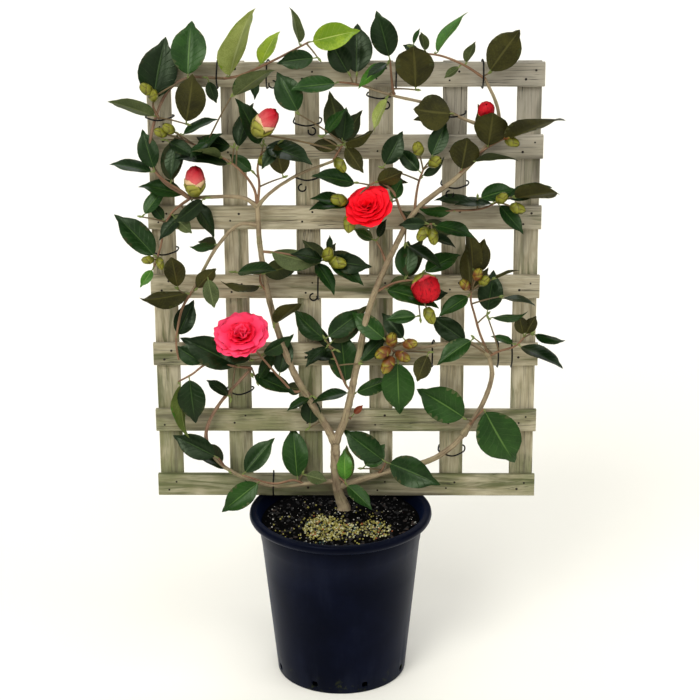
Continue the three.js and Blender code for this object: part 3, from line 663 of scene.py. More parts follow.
class Gather:
    """Shapes of one kind, gathered as arrays and made one mesh."""

    UV_NAME = "skin"

    def __init__(self) -> None:
        """Starts with nothing gathered."""
        self.points: list[Array] = []
        self.faces: list[tuple[int, ...]] = []
        self.uvs: list[Array] = []
        self.slots: list[int] = []
        self.rims: list[tuple[int, int]] = []
        self.count = 0

    def add(self, points: Array, faces: list[tuple[int, ...]], uvs: Array, slots: list[int] | int) -> None:
        """Gathers one shape.

        Args:
            points: Its corners, in millimetres.
            faces: Its faces as numbers of corners.
            uvs: A UV place for each corner of each face, in their order.
            slots: The material slot of each face, or one for all.
        """
        self.points.append(points)
        self.faces.extend(tuple(i + self.count for i in face) for face in faces)
        self.uvs.append(uvs)
        self.slots.extend([slots] * len(faces) if isinstance(slots, int) else slots)
        self.count += len(points)

    def add_skin(self, front: Array, rear: Array, share: Array, across: Array, front_slot: int,
                 rear_slot: int) -> None:
        """Gathers a thin closed patch from the two sides of it, joined round its rim.

        Args:
            front: The points of the side that faces out, by row from base to tip and by column.
            rear: Those of the other side. Its rim is the front's.
            share: Where each row lies, from 0 at the base to 1.
            across: Where each column lies, from -1 to 1.
            front_slot: The material slot of the front.
            rear_slot: That of the rear.
        """
        rows, columns = front.shape[:2]
        upper = np.arange(rows * columns).reshape(rows, columns)
        lower = upper.copy()
        inner = (rows - 2) * (columns - 2)
        lower[1:-1, 1:-1] = rows * columns + np.arange(inner).reshape(rows - 2, columns - 2)
        points = np.concatenate([front.reshape(-1, 3), rear[1:-1, 1:-1].reshape(-1, 3)])
        flat = np.stack(np.broadcast_arrays(across * 0.5 + 0.5, share), axis=-1)
        faces, uvs, slots = [], [], []
        for i in range(rows - 1):
            for k in range(columns - 1):
                corners = [(i, k), (i, k + 1), (i + 1, k + 1), (i + 1, k)]
                for grid, order, slot in ((upper, corners[::-1], front_slot), (lower, corners, rear_slot)):
                    faces.append(tuple(int(grid[c]) for c in order))
                    uvs += [flat[c] for c in order]
                    slots.append(slot)
        ring = [*upper[0], *upper[1:, -1], *upper[-1, -2::-1], *upper[-2:0:-1, 0]]
        self.rims += [(int(a) + self.count, int(b) + self.count) for a, b in zip(ring, ring[1:] + ring[:1])]
        self.add(points, faces, np.array(uvs), slots)

    def build(self, name: str) -> Piece:
        """All that was gathered, as one smooth mesh of that name.

        Args:
            name: The name of the piece and its mesh.

        Returns:
            The piece.
        """
        mesh = bpy.data.meshes.new(name)
        mesh.from_pydata((np.concatenate(self.points) * MM).tolist(), [], self.faces)
        layer = mesh.uv_layers.new(name=self.UV_NAME)
        layer.data.foreach_set("uv", np.concatenate(self.uvs).astype(np.float32).ravel())
        mesh.polygons.foreach_set("material_index", self.slots)
        mesh.polygons.foreach_set("use_smooth", [True] * len(self.faces))
        mesh.update()
        if self.rims:
            self._sharpen(mesh)
        piece = bpy.data.objects.new(name, mesh)
        bpy.context.scene.collection.objects.link(piece)
        return piece

    def _sharpen(self, mesh: bpy.types.Mesh) -> None:
        """Marks the rims of the thin patches sharp, so that each of their sides is shaded as it lies."""
        ends = np.zeros(len(mesh.edges) * 2, np.int32)
        mesh.edges.foreach_get("vertices", ends)
        scale = np.array([self.count, 1], np.int64)
        keys = np.sort(ends.reshape(-1, 2), axis=1) @ scale
        rims = np.sort(np.array(self.rims), axis=1) @ scale
        mesh.edges.foreach_set("use_edge_sharp", np.isin(keys, rims))


def chance(seed: int) -> Iterator[float]:
    """Seeded numbers from 0 to 1, as the source of the part draws them.

    Args:
        seed: A whole number above 0.

    Yields:
        One number after another, always the same for the same seed.
    """
    state = seed
    while True:
        state = state * 16807 % 2147483647
        yield state / 2147483647


def unit(vector: Array) -> Array:
    """A vector made one unit long."""
    return vector / np.linalg.norm(vector)


def place(station: Station, out: float) -> Array:
    """A point on the plant's own plane, a distance out from the rails."""
    return np.array([station[0], FRONT_Y - out, station[1]], float)


def direction(heading: float, tilt: float) -> Array:
    """The unit direction of a heading, tilted out of the plane towards the front."""
    turn, lift = radians(heading), radians(tilt)
    return np.array([sin(turn) * cos(lift), -sin(lift), cos(turn) * cos(lift)])


def seen(heading: float, tilt: float) -> Array:
    """The step that looks one unit long at a heading from the camera, and is tilted towards it."""
    turn, lean = radians(heading), tan(radians(tilt))
    return np.array([sin(turn), -lean, cos(turn) + lean * tan(radians(VIEW_PITCH))])


def across_axis(axis: Array, roll: float) -> tuple[Array, Array]:
    """Two unit vectors across an axis: one to the side, and one on the face that is nearest to the camera.

    Args:
        axis: The unit axis.
        roll: Degrees that both are turned round it.

    Returns:
        The side and the face.
    """
    lens = np.array([0.0, -cos(radians(VIEW_PITCH)), sin(radians(VIEW_PITCH))])
    face = unit(lens - axis * float(lens @ axis))
    turn = radians(roll)
    face = face * cos(turn) + np.cross(axis, face) * sin(turn)
    return np.cross(axis, face), face


class Way:
    """The smooth curve through a limb's or stem's stations, measured along its length."""

    DIVISIONS = 200

    def __init__(self, stations: list[Station], out: tuple[float, float]) -> None:
        """Lays the curve, with the distance out going evenly from its first value to its last.

        Args:
            stations: The places that it runs through.
            out: The distance out at its first and last station.
        """
        last = len(stations) - 1
        self.knots = [place(s, blend(out[0], out[1], i / last)) for i, s in enumerate(stations)]
        self.steps = np.linspace(0, 1, self.DIVISIONS + 1)
        samples = np.array([self._point(t) for t in self.steps])
        gaps = np.linalg.norm(np.diff(samples, axis=0), axis=1)
        self.lengths = np.concatenate([[0.0], np.cumsum(gaps)])
        self.length = float(self.lengths[-1])

    def _point(self, t: float) -> Array:
        """The point at t, from 0 to 1, by centripetal Catmull and Rom curves between the knots.

        Args:
            t: The share of the knots that lie behind the point.

        Returns:
            The point, in millimetres.
        """
        knots, count = self.knots, len(self.knots)
        i = min(int((count - 1) * t), count - 2)
        share = (count - 1) * t - i
        near, far = knots[i], knots[i + 1]
        before = knots[i - 1] if i > 0 else 2 * near - far
        after = knots[i + 2] if i + 2 < count else 2 * far - near
        gaps = [sqrt(np.linalg.norm(b - a)) for a, b in ((before, near), (near, far), (far, after))]
        leave = (near - before) / gaps[0] - (far - before) / (gaps[0] + gaps[1]) + (far - near) / gaps[1]
        reach = (far - near) / gaps[1] - (after - near) / (gaps[1] + gaps[2]) + (after - far) / gaps[2]
        leave, reach = leave * gaps[1], reach * gaps[1]
        curve = (3 * (far - near) - 2 * leave - reach, 2 * (near - far) + leave + reach)
        return near + leave * share + curve[0] * share ** 2 + curve[1] * share ** 3

    def at(self, share: float) -> Array:
        """The point at a share of the length."""
        return self._point(float(np.interp(share * self.length, self.lengths, self.steps)))

    def run(self, step: float) -> Array:
        """Points along the curve, about a step apart."""
        count = max(4, round(self.length / step))
        return np.array([self.at(i / count) for i in range(count + 1)])


class Tubes(Gather):
    """Tubes along lines of points. The UV map runs once round, and a unit to each 100 mm along."""

    UV_LENGTH = 100.0

    def add_tube(self, line: Array, radii: Array, sides: int, slot: int = 0,
                 relief: Callable[[float, float], float] | None = None, blunt: float = 0.7) -> None:
        """Gathers one tube with closed ends.

        Args:
            line: The points that it follows.
            radii: Its radius at each point.
            sides: How many sides it has.
            slot: Its material slot.
            relief: The share that its radius grows by at an angle and a distance along.
            blunt: How far its end stands past the last point, as a share of the last radius.
        """
        tangents = np.gradient(line, axis=0)
        tangents /= np.linalg.norm(tangents, axis=1)[:, None]
        along = np.concatenate([[0.0], np.cumsum(np.linalg.norm(np.diff(line, axis=0), axis=1))])
        normal = np.array([0.0, 1.0, 0.0])
        if abs(tangents[0][1]) > 0.9:
            normal = np.array([1.0, 0.0, 0.0])
        points = []
        for i, (point, tangent) in enumerate(zip(line, tangents)):
            normal = unit(normal - tangent * float(normal @ tangent))
            second = np.cross(tangent, normal)
            for k in range(sides):
                angle = 2 * pi * k / sides
                reach = radii[i] * (1 + (relief(angle, along[i]) if relief else 0.0))
                points.append(point + (normal * cos(angle) + second * sin(angle)) * reach)
        points.append(line[0])
        points.append(line[-1] + tangents[-1] * radii[-1] * blunt)
        faces, uvs = [], []
        last = (len(line) - 1) * sides
        for i in range(len(line) - 1):
            low, high = along[i] / self.UV_LENGTH, along[i + 1] / self.UV_LENGTH
            for k in range(sides):
                here, there = i * sides + k, i * sides + (k + 1) % sides
                faces.append((here, there, there + sides, here + sides))
                near, far = k / sides, (k + 1) / sides
                uvs += [(near, low), (far, low), (far, high), (near, high)]
        for k in range(sides):
            beside, near = (k + 1) % sides, k / sides
            faces.append((beside, k, len(points) - 2))
            faces.append((last + k, last + beside, len(points) - 1))
            uvs += [(near, 0)] * 3 + [(near, along[-1] / self.UV_LENGTH)] * 3
        self.add(np.array(points), faces, np.array(uvs), slot)


@dataclass
class Pot:
    """The nursery pot: a tapered wall with a step, a rolled lip, drain holes and a floor."""

    height: float = 291.0
    base_radius: float = 108.4
    step_height: float = 243.0
    step_radius: float = 133.0
    shoulder_height: float = 273.0
    shoulder_radius: float = 136.0
    lip_radius: float = 152.5
    lip_width: float = 14.0
    wall: float = 3.0
    eased: float = 0.5
    sides: int = 128
    holes: int = 8
    hole_height: float = 15.0
    hole_size: float = 10.0
    hole_round: float = 2.4
    hole_turn: float = 22.0

    def radius_at(self, z: float) -> float:
        """The wall's outer radius at a height below the step."""
        return blend(self.base_radius, self.step_radius, z / self.step_height)

    def outline(self) -> list[tuple[float, float]]:
        """The radius and height of each ring, up the outside, over the lip and down to the floor."""
        lip, inner, top = self.lip_radius, self.lip_radius - self.lip_width, self.height
        base, step = self.base_radius, self.step_radius
        shoulder, high = self.shoulder_radius, self.shoulder_height
        outside = [(base - 2, 0.0), (base - 0.6, 0.6), (self.radius_at(2.5), 2.5)]
        outside += [(self.radius_at(z), z) for z in (40.0, 90.0, 140.0, 190.0)]
        outside += [(step, self.step_height), (step + 1, self.step_height + 1.5)]
        outside += [(shoulder - 0.3, high - 2), (shoulder, high)]
        roll = [(lip - 6.0, top - 14.6), (lip - 2.4, top - 12.4), (lip - 0.3, top - 8.5), (lip, top - 6.5)]
        roll += [(lip - 0.6, top - 2.6), (lip - 2.0, top - 0.7), (lip - 4.2, top)]
        roll += [(inner + 3.2, top), (inner + 1.0, top - 0.9), (inner, top - 3.0)]
        inside = [(shoulder - self.wall + 1.2, high + 3), (shoulder - self.wall, high - 5)]
        return outside + roll + inside + [(self.radius_at(self.wall) - self.wall, self.wall)]

    def build(self) -> Piece:
        """The pot, pulled up ring by ring and pierced."""
        Bench.clear()
        rings = self.outline()
        bpy.ops.mesh.primitive_circle_add(vertices=self.sides, radius=rings[0][0] * MM, fill_type="NGON")
        pot = Bench.named("pot_shell")
        Bench.edit(pot, "EDGE", lambda edge: True)
        for (radius, z), (wider, higher) in zip(rings, rings[1:]):
            bpy.ops.mesh.extrude_edges_move(TRANSFORM_OT_translate={"value": (0.0, 0.0, (higher - z) * MM)})
            grow = wider / radius
            bpy.ops.transform.resize(value=(grow, grow, 1.0), center_override=(0.0, 0.0, 0.0))
        bpy.ops.mesh.edge_face_add()
        bpy.ops.mesh.select_all(action="SELECT")
        bpy.ops.mesh.normals_make_consistent(inside=False)
        self._pierce(pot)
        Bench.modify(pot, "BEVEL", width=self.eased * MM, segments=2, limit_method="ANGLE",
                     angle_limit=radians(40))
        Bench.smooth(pot, 35)
        return Bench.finish(pot, "pot", [PotPlastic("pot_plastic")], "pot")

    def _pierce(self, pot: Piece) -> None:
        """Cuts the drain holes low in the wall."""
        Bench.clear()
        bpy.ops.mesh.primitive_cube_add(size=self.hole_size * MM)
        punch = Bench.named("drain_punch")
        Bench.edit(punch, "EDGE", lambda edge: True)
        bpy.ops.transform.resize(value=(self.wall * 6 / self.hole_size, 1.0, 1.0))
        for edge in bmesh.from_edit_mesh(punch.data).edges:
            ends = edge.verts[0].co - edge.verts[1].co
            edge.select_set(abs(ends.x) > abs(ends.y) + abs(ends.z))
        bpy.ops.mesh.bevel(offset=self.hole_round * MM, segments=3)
        bpy.ops.mesh.select_all(action="SELECT")
        bpy.ops.transform.translate(value=(self.radius_at(self.hole_height) * MM, 0.0, self.hole_height * MM))
        for _ in range(self.holes - 1):
            bpy.ops.mesh.duplicate()
            self._turn(2 * pi / self.holes)
        bpy.ops.mesh.select_all(action="SELECT")
        self._turn(radians(self.hole_turn))
        Bench.modify(pot, "BOOLEAN", object=punch, operation="DIFFERENCE", solver="EXACT")
        bpy.data.objects.remove(punch)

    @staticmethod
    def _turn(angle: float) -> None:
        """Turns what is selected round the pot's axis."""
        bpy.ops.transform.rotate(value=-angle, orient_axis="Z", center_override=(0.0, 0.0, 0.0))


@dataclass
class Mix:
    """The mix in the pot, with bark chips, perlite and feed pellets lying on it."""

    radius: float = 132.2
    depth: float = 40.0
    rings: int = 34
    sides: int = 120
    swell: float = 3.2
    crumb_swell: float = 1.3
    mound: float = 3.5
    open_radius: float = 118.0
    chips: int = 620
    perlite: int = 240
    pellets: int = 860
    strays: int = 90
    seed: int = 77
    reach: float = 129.0
    heap_reach: float = 126.0
    trunk_room: float = 12.0
    heap_trunk_room: float = 15.0
    pellet_size: float = 2.8
    pellet_range: float = 1.2

    HEAPS = [((-24.0, -36.0), (42.0, 54.0), 0.54), ((12.0, -50.0), (20.0, 34.0), 0.06),
             ((54.0, -40.0), (32.0, 38.0), 0.2)]

    @staticmethod
    def from_trunk(x: float, y: float) -> float:
        """How far a place is from the middle of the trunk's foot."""
        return hypot(x - TRUNK_FOOT[0], y - TRUNK_FOOT[1])

    def rise(self, x: float, y: float) -> float:
        """How far the surface stands over its level at a place.

        Args:
            x: Millimetres to the right of the pot's axis.
            y: Millimetres behind it.

        Returns:
            The height, in millimetres.
        """
        broad = noise.noise(Vector((x / 46, y / 46, 3.1))) * self.swell
        fine = noise.fractal(Vector((x / 11, y / 11, 0.7)), 0.7, 2.1, 4) * self.crumb_swell
        mound = self.mound * exp(-((x - TRUNK_FOOT[0]) ** 2 + (y - TRUNK_FOOT[1]) ** 2) / 900)
        edge = 1 - max(0.0, (hypot(x, y) - self.open_radius) / (self.radius - self.open_radius))
        return (broad + fine + mound) * max(0.0, min(1.0, edge)) - 0.5

    def build(self) -> list[Piece]:
        """The mix and what lies on it."""
        return [self._bed(), self._chips(), self._perlite(), self._pellets()]

    def _bed(self) -> Piece:
        """The mix itself: a short drum whose top is inset again and again, then raised and roughened."""
        Bench.clear()
        middle = (0.0, 0.0, (SOIL_TOP - self.depth / 2) * MM)
        bpy.ops.mesh.primitive_cylinder_add(
            vertices=self.sides, radius=self.radius * MM, depth=self.depth * MM, location=middle)
        bed = Bench.named("compost_bed")
        Bench.edit(bed, "FACE", lambda face: face.normal.z > 0.9)
        for _ in range(self.rings):
            bpy.ops.mesh.inset(thickness=self.radius / (self.rings + 1) * MM)
        bpy.ops.mesh.poke()
        Bench.clear()
        shrink = -self.depth * 0.1 / self.radius
        def settle(point: Vector) -> Vector:
            """How far a point moves: in, below the top, so that the drum tapers, or up with the surface."""
            if point.z < SOIL_TOP - 1:
                return Vector((point.x * shrink, point.y * shrink, 0.0))
            return Vector((0.0, 0.0, self.rise(point.x, point.y)))
        Bench.carve(bed, settle)
        Bench.smooth(bed, 60)
        return Bench.finish(bed, "soil", [Compost("compost")], "soil")

    def _scatter(self, name: str, spots: list[tuple[float, float, float]], shape: list[float], rough: float,
                 finishes: list[Grain], slots: list[int], segments: int = 7) -> Piece:
        """Small round or broken grains, each lying on the mix.

        Args:
            name: The piece's name.
            spots: The x, y and size of each grain.
            shape: How long a grain is each way, as shares of its size.
            rough: How far a grain is broken, from 0.
            finishes: What the grains are made of.
            slots: The number of each grain's finish.
            segments: How many sides a grain has.

        Returns:
            The grains as one piece.
        """
        Bench.clear()
        bpy.ops.mesh.primitive_uv_sphere_add(segments=segments, ring_count=5, radius=0.5)
        pebble = bpy.context.object
        points = np.array([v.co for v in pebble.data.vertices])
        faces = [tuple(face.vertices) for face in pebble.data.polygons]
        bpy.data.objects.remove(pebble)
        corners = sum(len(face) for face in faces)
        draw = np.random.default_rng(self.seed + len(spots))
        grains = Gather()
        for (x, y, size), slot in zip(spots, slots):
            broken = 1 + (draw.random((len(points), 1)) - 0.5) * rough
            heading = Matrix.Rotation(draw.random() * 6.28, 3, "Z")
            turned = np.array(heading @ Matrix.Rotation((draw.random() - 0.5) * 0.9, 3, "X"))
            grain = (points * broken * np.array(shape) * size) @ turned.T
            lift = SOIL_TOP + self.rise(x, y) + size * shape[2] * 0.34
            grains.add(grain + np.array([x, y, lift]), faces, np.zeros((corners, 2)), slot)
        return Bench.finish(grains.build(name), "soil", finishes)

    def _spots(self, count: int, sizes: tuple[float, float], salt: int) -> list[tuple[float, float, float]]:
        """Places scattered evenly over the mix, clear of the trunk.

        Args:
            count: How many.
            sizes: The least and the most size.
            salt: For places of their own.

        Returns:
            The x, y and size of each.
        """
        draw = np.random.default_rng(self.seed + salt)
        spots = []
        while len(spots) < count:
            x, y = (draw.random(2) * 2 - 1) * 128
            size = blend(sizes[0], sizes[1], float(draw.random()) ** 2)
            if hypot(x, y) < self.reach - size / 2 and self.from_trunk(x, y) > self.trunk_room + size / 2:
                spots.append((float(x), float(y), size))
        return spots

    def _chips(self) -> Piece:
        """Chips of bark and crumbs of the mix."""
        finishes = [Grain("crumb", "#17130f", "#050504", 0.85), Grain("bark_chip", "#3a2b1f", "#140e09", 0.8)]
        slots = [i % 5 // 4 for i in range(self.chips)]
        spots = self._spots(self.chips, (2.6, 9.5), 1)
        chips = self._scatter("bark_chips", spots, [1.0, 0.62, 0.42], 0.5, finishes, slots)
        Bench.smooth(chips, 30)
        return chips

    def _perlite(self) -> Piece:
        """White grains of perlite."""
        finishes = [Grain("perlite_grain", "#d9d6ca", "#8f8c82", 0.8, 900)]
        spots = self._spots(self.perlite, (1.1, 3.0), 2)
        return self._scatter("perlite", spots, [1.0, 0.85, 0.8], 0.35, finishes, [0] * self.perlite)

    def _pellets(self) -> Piece:
        """Feed pellets, heaped in patches in front of the trunk, with strays round them."""
        finishes = [
            Grain("pellet_ochre", "#a39a44", "#5f5820", 0.5),
            Grain("pellet_cream", "#d6d2a4", "#96915f", 0.5),
            Grain("pellet_teal", "#2f5a52", "#17342f", 0.5),
            Grain("pellet_orange", "#a85a24", "#6e3610", 0.5),
        ]
        draw = np.random.default_rng(self.seed + 3)
        spots, slots = [], []
        for centre, spread, share in self.HEAPS:
            for _ in range(round(self.pellets * share)):
                angle = draw.random() * 2 * pi
                reach = sqrt(draw.random()) * (0.75 + draw.random() * 0.35)
                x = centre[0] + cos(angle) * reach * spread[0]
                y = centre[1] + sin(angle) * reach * spread[1]
                if hypot(x, y) < self.heap_reach and self.from_trunk(x, y) > self.heap_trunk_room:
                    size = self.pellet_size + float(draw.random()) * self.pellet_range
                    spots.append((float(x), float(y), size))
                    slots.append(int(np.searchsorted([0.62, 0.9, 0.96], draw.random())))
        strays = self._spots(self.strays, (2.6, 3.8), 4)
        spots += [(x * 0.8 - 20, y * 0.8 - 18, size) for x, y, size in strays]
        slots += [0] * len(strays)
        return self._scatter("feed_pellets", spots, [1.0, 1.0, 0.95], 0.06, finishes, slots, 8)


@dataclass
class Trellis:
    """Level rails in front of upright laths, nailed where they cross."""

    pitch: float = 118.0
    width: float = 39.0
    thickness: float = 9.0
    rails: int = 7
    laths: int = 6
    centre_x: float = 8.5
    foot: float = 291.3
    arris: float = 1.1
    relief: float = 0.4
    ring_step: float = 9.0
    strips: int = 9
    nail_radius: float = 1.9

    BOARD_NAME = "board"

    def build(self) -> list[Piece]:
        """The rails, the laths and the nails."""
        rails = [self._board(f"rail_{i + 1}", True) for i in range(self.rails)]
        laths = [self._board(f"lath_{i + 1}", False) for i in range(self.laths)]
        return [*rails, *laths, self._nails()]

    def _board(self, node: str, level: bool) -> Piece:
        """One sawn board over its node: its edges eased, its faces cut into strips and worn along the grain.

        Args:
            node: The node.
            level: Whether the board is a rail.

        Returns:
            The board.
        """
        low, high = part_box(node)
        size, middle = high - low, (low + high) / 2
        Bench.clear()
        bpy.ops.mesh.primitive_cube_add(size=1.0, location=middle, scale=size)
        board = Bench.named(f"{node}_board")
        run, wide = (0, 2) if level else (2, 0)
        Bench.edit(board, "EDGE", lambda edge: True)
        bpy.ops.mesh.bevel(offset=self.arris * MM, segments=2)
        self._cut(board, run, round(size[run] / MM / self.ring_step), size)
        self._cut(board, wide, self.strips, size)
        Bench.clear()
        salt = float(sum(map(ord, node)))
        self._wear(board, run, wide, salt, middle)
        Bench.smooth(board, 40)
        marks = board.data.attributes.new(self.BOARD_NAME, "FLOAT", "POINT")
        marks.data.foreach_set("value", [salt % 17 / 17] * len(board.data.vertices))
        finish = WeatheredPine("pine_rail" if level else "pine_lath", level)
        return Bench.finish(board, "timber", [finish], node)

    @staticmethod
    def _cut(board: Piece, run: int, cuts: int, size: Vector) -> None:
        """Divides the edges that lie along one axis and are most of the board's size that way.

        Args:
            board: The board, in edit mode.
            run: The axis.
            cuts: How many times each edge is divided.
            size: The board's size, in metres.
        """
        def lies_along(edge: bmesh.types.BMEdge) -> bool:
            """Whether an edge is one of those."""
            line = edge.verts[0].co - edge.verts[1].co
            return abs(line[run]) > 0.8 * size[run] and line.length < abs(line[run]) * 1.02
        Bench.pick(board, "EDGE", lies_along)
        bpy.ops.mesh.subdivide(number_cuts=cuts, quadcorner="INNERVERT")

    def _wear(self, board: Piece, run: int, wide: int, salt: float, middle: Vector) -> None:
        """Sinks the soft grain, always inwards, so that the board keeps its size.

        Args:
            board: The board.
            run: The axis along it.
            wide: The axis across its face.
            salt: For grain of its own.
            middle: Its middle, in metres.
        """
        def sink(point: Vector) -> Vector:
            """How far a point moves in."""
            along, across = point[run] / 90, point[wide] / 3.4
            deep = 0.5 + 0.5 * noise.fractal(Vector((along, across, salt)), 0.8, 2.0, 3)
            gnaw = max(0.0, noise.noise(Vector((along * 2.4, salt, point[wide] / 26))))
            side = 1.0 if point.y < middle.y / MM else -1.0
            move = Vector((0.0, side * self.relief * max(0.0, min(1.0, deep)), 0.0))
            if abs(point[wide] - middle[wide] / MM) > self.width / 2 - 0.6:
                move[wide] = -copysign(0.5 * gnaw, point[wide] - middle[wide] / MM)
            return move
        Bench.carve(board, sink)

    def _nails(self) -> Piece:
        """Two nail heads at each crossing, a little sunk."""
        nails = Tubes()
        draw = chance(4111)
        for rail in range(self.rails):
            for lath in range(self.laths):
                x = self.centre_x + (lath - (self.laths - 1) / 2) * self.pitch
                z = self.foot + self.width / 2 + rail * self.pitch
                for side in (-1, 1):
                    spot = (x + side * (5 + next(draw) * 5), z + side * (4 + next(draw) * 7))
                    line = np.array([place(spot, -2.0), place(spot, -0.15), place(spot, 0.12)])
                    radius = self.nail_radius * (0.85 + 0.3 * next(draw))
                    nails.add_tube(line, np.array([radius, radius, radius * 0.75]), 10, blunt=0.05)
        piece = nails.build("trellis_nails")
        Bench.smooth(piece, 30)
        return Bench.finish(piece, "timber", [NAIL_IRON])


@dataclass(frozen=True)
class Limb:
    """The trunk, a leader or a bough: a tapering limb along its stations."""

    name: str
    thick: tuple[float, float]
    out: tuple[float, float]
    way: list[Station]
    flare: float = 0.0
    sides: int = 14
    step: float = 3.0
    young: int = 0


LIMBS = [
    Limb("trunk", (8.4, 7.6), (20, 20),
         [(5, 272.3), (5, 279), (-3, 304), (-8, 333), (-9, 399)], 4.2, 22, 2.0),
    Limb("left_leader", (6.2, 4.0), (20, 18),
         [(-9, 399), (-24, 427), (-78, 526), (-114, 647), (-128, 743), (-131, 808)], sides=18, step=2.4),
    Limb("right_leader", (6.2, 3.4), (20, 18),
         [(-9, 399), (7, 438), (27, 530), (50, 640), (95, 750), (125, 803), (184, 852), (219, 888),
          (255, 934)],
         sides=18, step=2.4),
    Limb("left_low", (3.6, 3.0), (20, 16),
         [(-8, 327), (-52, 322), (-114, 317), (-167, 334), (-205, 360), (-224, 388)]),
    Limb("left_low_rise", (3.0, 2.5), (16, 16),
         [(-224, 388), (-224, 419), (-202, 464), (-146, 529)], young=1),
    Limb("right_low", (5.4, 4.4), (20, 14),
         [(-7, 315), (36, 330), (89, 347), (148, 363), (185, 387), (205, 409)], sides=16),
    Limb("right_low_rise", (4.4, 3.6), (14, 14), [(205, 409), (237, 466), (251, 515), (246, 550)], sides=16),
    Limb("right_low_cross", (3.2, 2.3), (14, 20), [(246, 550), (211, 575), (142, 567), (96, 559)]),
    Limb("left_arm", (3.2, 2.8), (18, 20), [(-131, 808), (-152, 822), (-211, 824), (-238, 822)]),
    Limb("left_rise", (2.8, 2.2), (20, 14),
         [(-238, 822), (-280, 850), (-301, 890), (-273, 991), (-240, 1017), (-180, 1017)], young=1),
    Limb("left_inner", (3.0, 2.4), (18, 20), [(-130, 777), (-160, 778), (-192, 748), (-240, 665)]),
    Limb("inner_rise", (2.8, 2.2), (18, 20), [(-131, 808), (-113, 828), (-72, 857), (-8, 884)]),
    Limb("long_left", (2.9, 2.0), (18, 14), [(255, 934), (213, 946), (145, 975), (87, 989), (35, 1006)]),
    Limb("right_arc", (3.0, 2.4), (18, 12), [(255, 934), (252, 969), (232, 1015)]),
]


@dataclass
class Woodwork:
    """The limbs with their bark in relief, from the trunk's flare to the boughs' tips."""

    flare_length: float = 14.0
    node_step: float = 33.0
    node_width: float = 2.4
    node_swell: float = 0.1
    collar: float = 0.42
    collar_length: float = 6.0
    crack_relief: float = 0.055
    ring_relief: float = 0.022

    def build(self) -> list[Piece]:
        """The trunk with its leaders, and the boughs."""
        finishes = [Bark("bark_old", "#9d8d6d", "#74624a", "#413420", 0.36),
                    Bark("bark_young", "#8c7058", "#644532", "#372419")]
        pieces = []
        for name, chosen in (("trunk_and_leaders", LIMBS[:3]), ("boughs", LIMBS[3:])):
            tubes = Tubes()
            for order, limb in enumerate(chosen):
                self._grow(tubes, limb, 10.0 + order * 7.3)
            nodes = [limb.name for limb in chosen]
            pieces.append(Bench.finish(tubes.build(name), "bark", finishes, *nodes))
        return pieces

    def _grow(self, tubes: Tubes, limb: Limb, salt: float) -> None:
        """Gathers one limb: tapered, swollen at its nodes and collared where it leaves its parent.

        Args:
            tubes: The mesh that it goes into.
            limb: The limb.
            salt: For its own bends and bark.
        """
        way = Way(limb.way, limb.out)
        line = way.run(limb.step)
        along = np.linspace(0, way.length, len(line))
        radii = limb.thick[0] + (limb.thick[1] - limb.thick[0]) * along / way.length
        radii += limb.flare * np.exp(-along / self.flare_length)
        if limb.name != "trunk":
            past = np.maximum(along - self.collar_length, 0)
            radii *= 1 + self.collar * np.exp(-past / self.collar_length)
        draw = chance(int(salt * 31))
        spot = self.node_step * 0.6
        while spot < way.length:
            radii *= 1 + self.node_swell * np.exp(-((along - spot) / self.node_width) ** 2)
            spot += self.node_step * (0.7 + 0.6 * next(draw))
        def relief(angle: float, distance: float) -> float:
            """The share that the radius grows by at a place on the bark."""
            rim = Vector((cos(angle) * 1.7, sin(angle) * 1.7, distance / 26 + salt))
            crack = noise.fractal(rim * 2.2, 0.8, 2.1, 3)
            ring = noise.noise(Vector((cos(angle) * 0.5, distance / 2.4, salt)))
            return self.crack_relief * crack + self.ring_relief * ring
        line = line + self._kinks(line, salt) * limb.thick[1] * 0.16
        tubes.add_tube(line, radii, limb.sides, limb.young, relief)

    @staticmethod
    def _kinks(line: Array, salt: float) -> Array:
        """Small bends along a limb, fading out at both its ends.

        Args:
            line: The points of the limb.
            salt: For bends of its own.

        Returns:
            How far each point moves, as shares of the most.
        """
        count = len(line)
        fade = np.sin(np.linspace(0, pi, count)) ** 0.5
        bends = [noise.noise_vector(Vector((p[0] / 24, p[2] / 24, salt))) for p in line]
        return np.array([tuple(b) for b in bends]) * fade[:, None]


@dataclass(frozen=True)
class LeafOn:
    """A leaf on its shoot, as it looks from the front.

    Its heading and length, its tone, how wide it looks for its length, and whether its back shows.
    """

    heading: float
    size: float
    tone: Tone
    width: float
    back: bool = False


def upper(heading: float, size: float, tone: Tone, width: float) -> LeafOn:
    """A leaf that shows its upper face."""
    return LeafOn(heading, size, tone, width)


def under(heading: float, size: float, tone: Tone, width: float) -> LeafOn:
    """A leaf that shows its back."""
    return LeafOn(heading, size, tone, width, True)


@dataclass(frozen=True)
class Shoot:
    """A side shoot: how far along its stem it leaves, its heading and length, and its leaves in order."""

    along: float
    heading: float
    length: float
    leaves: list[LeafOn]


@dataclass(frozen=True)
class BudOn:
    """A bud on its stalk: how far along the stem, its heading, stalk and length, and its kind of scale."""

    along: float
    heading: float
    stalk: float
    size: float
    scale: int = 0


@dataclass(frozen=True)
class BloomOn:
    """A bloom on its stalk: open from 0, which is shut, to 1, and facing along a heading and tilt."""

    along: float
    heading: float
    stalk: float
    size: float
    open: float
    facing: tuple[float, float]


@dataclass(frozen=True)
class Mass:
    """A mass of foliage: its stem, from its limb's tip or side, with its shoots, buds and blooms."""

    name: str
    out: tuple[float, float]
    stem: list[Station]
    shoots: list[Shoot]
    buds: list[BudOn] = field(default_factory=list)
    blooms: list[BloomOn] = field(default_factory=list)


DARK, DEEP, MID, BRIGHT, LIME, OLIVE, RUST = Tone
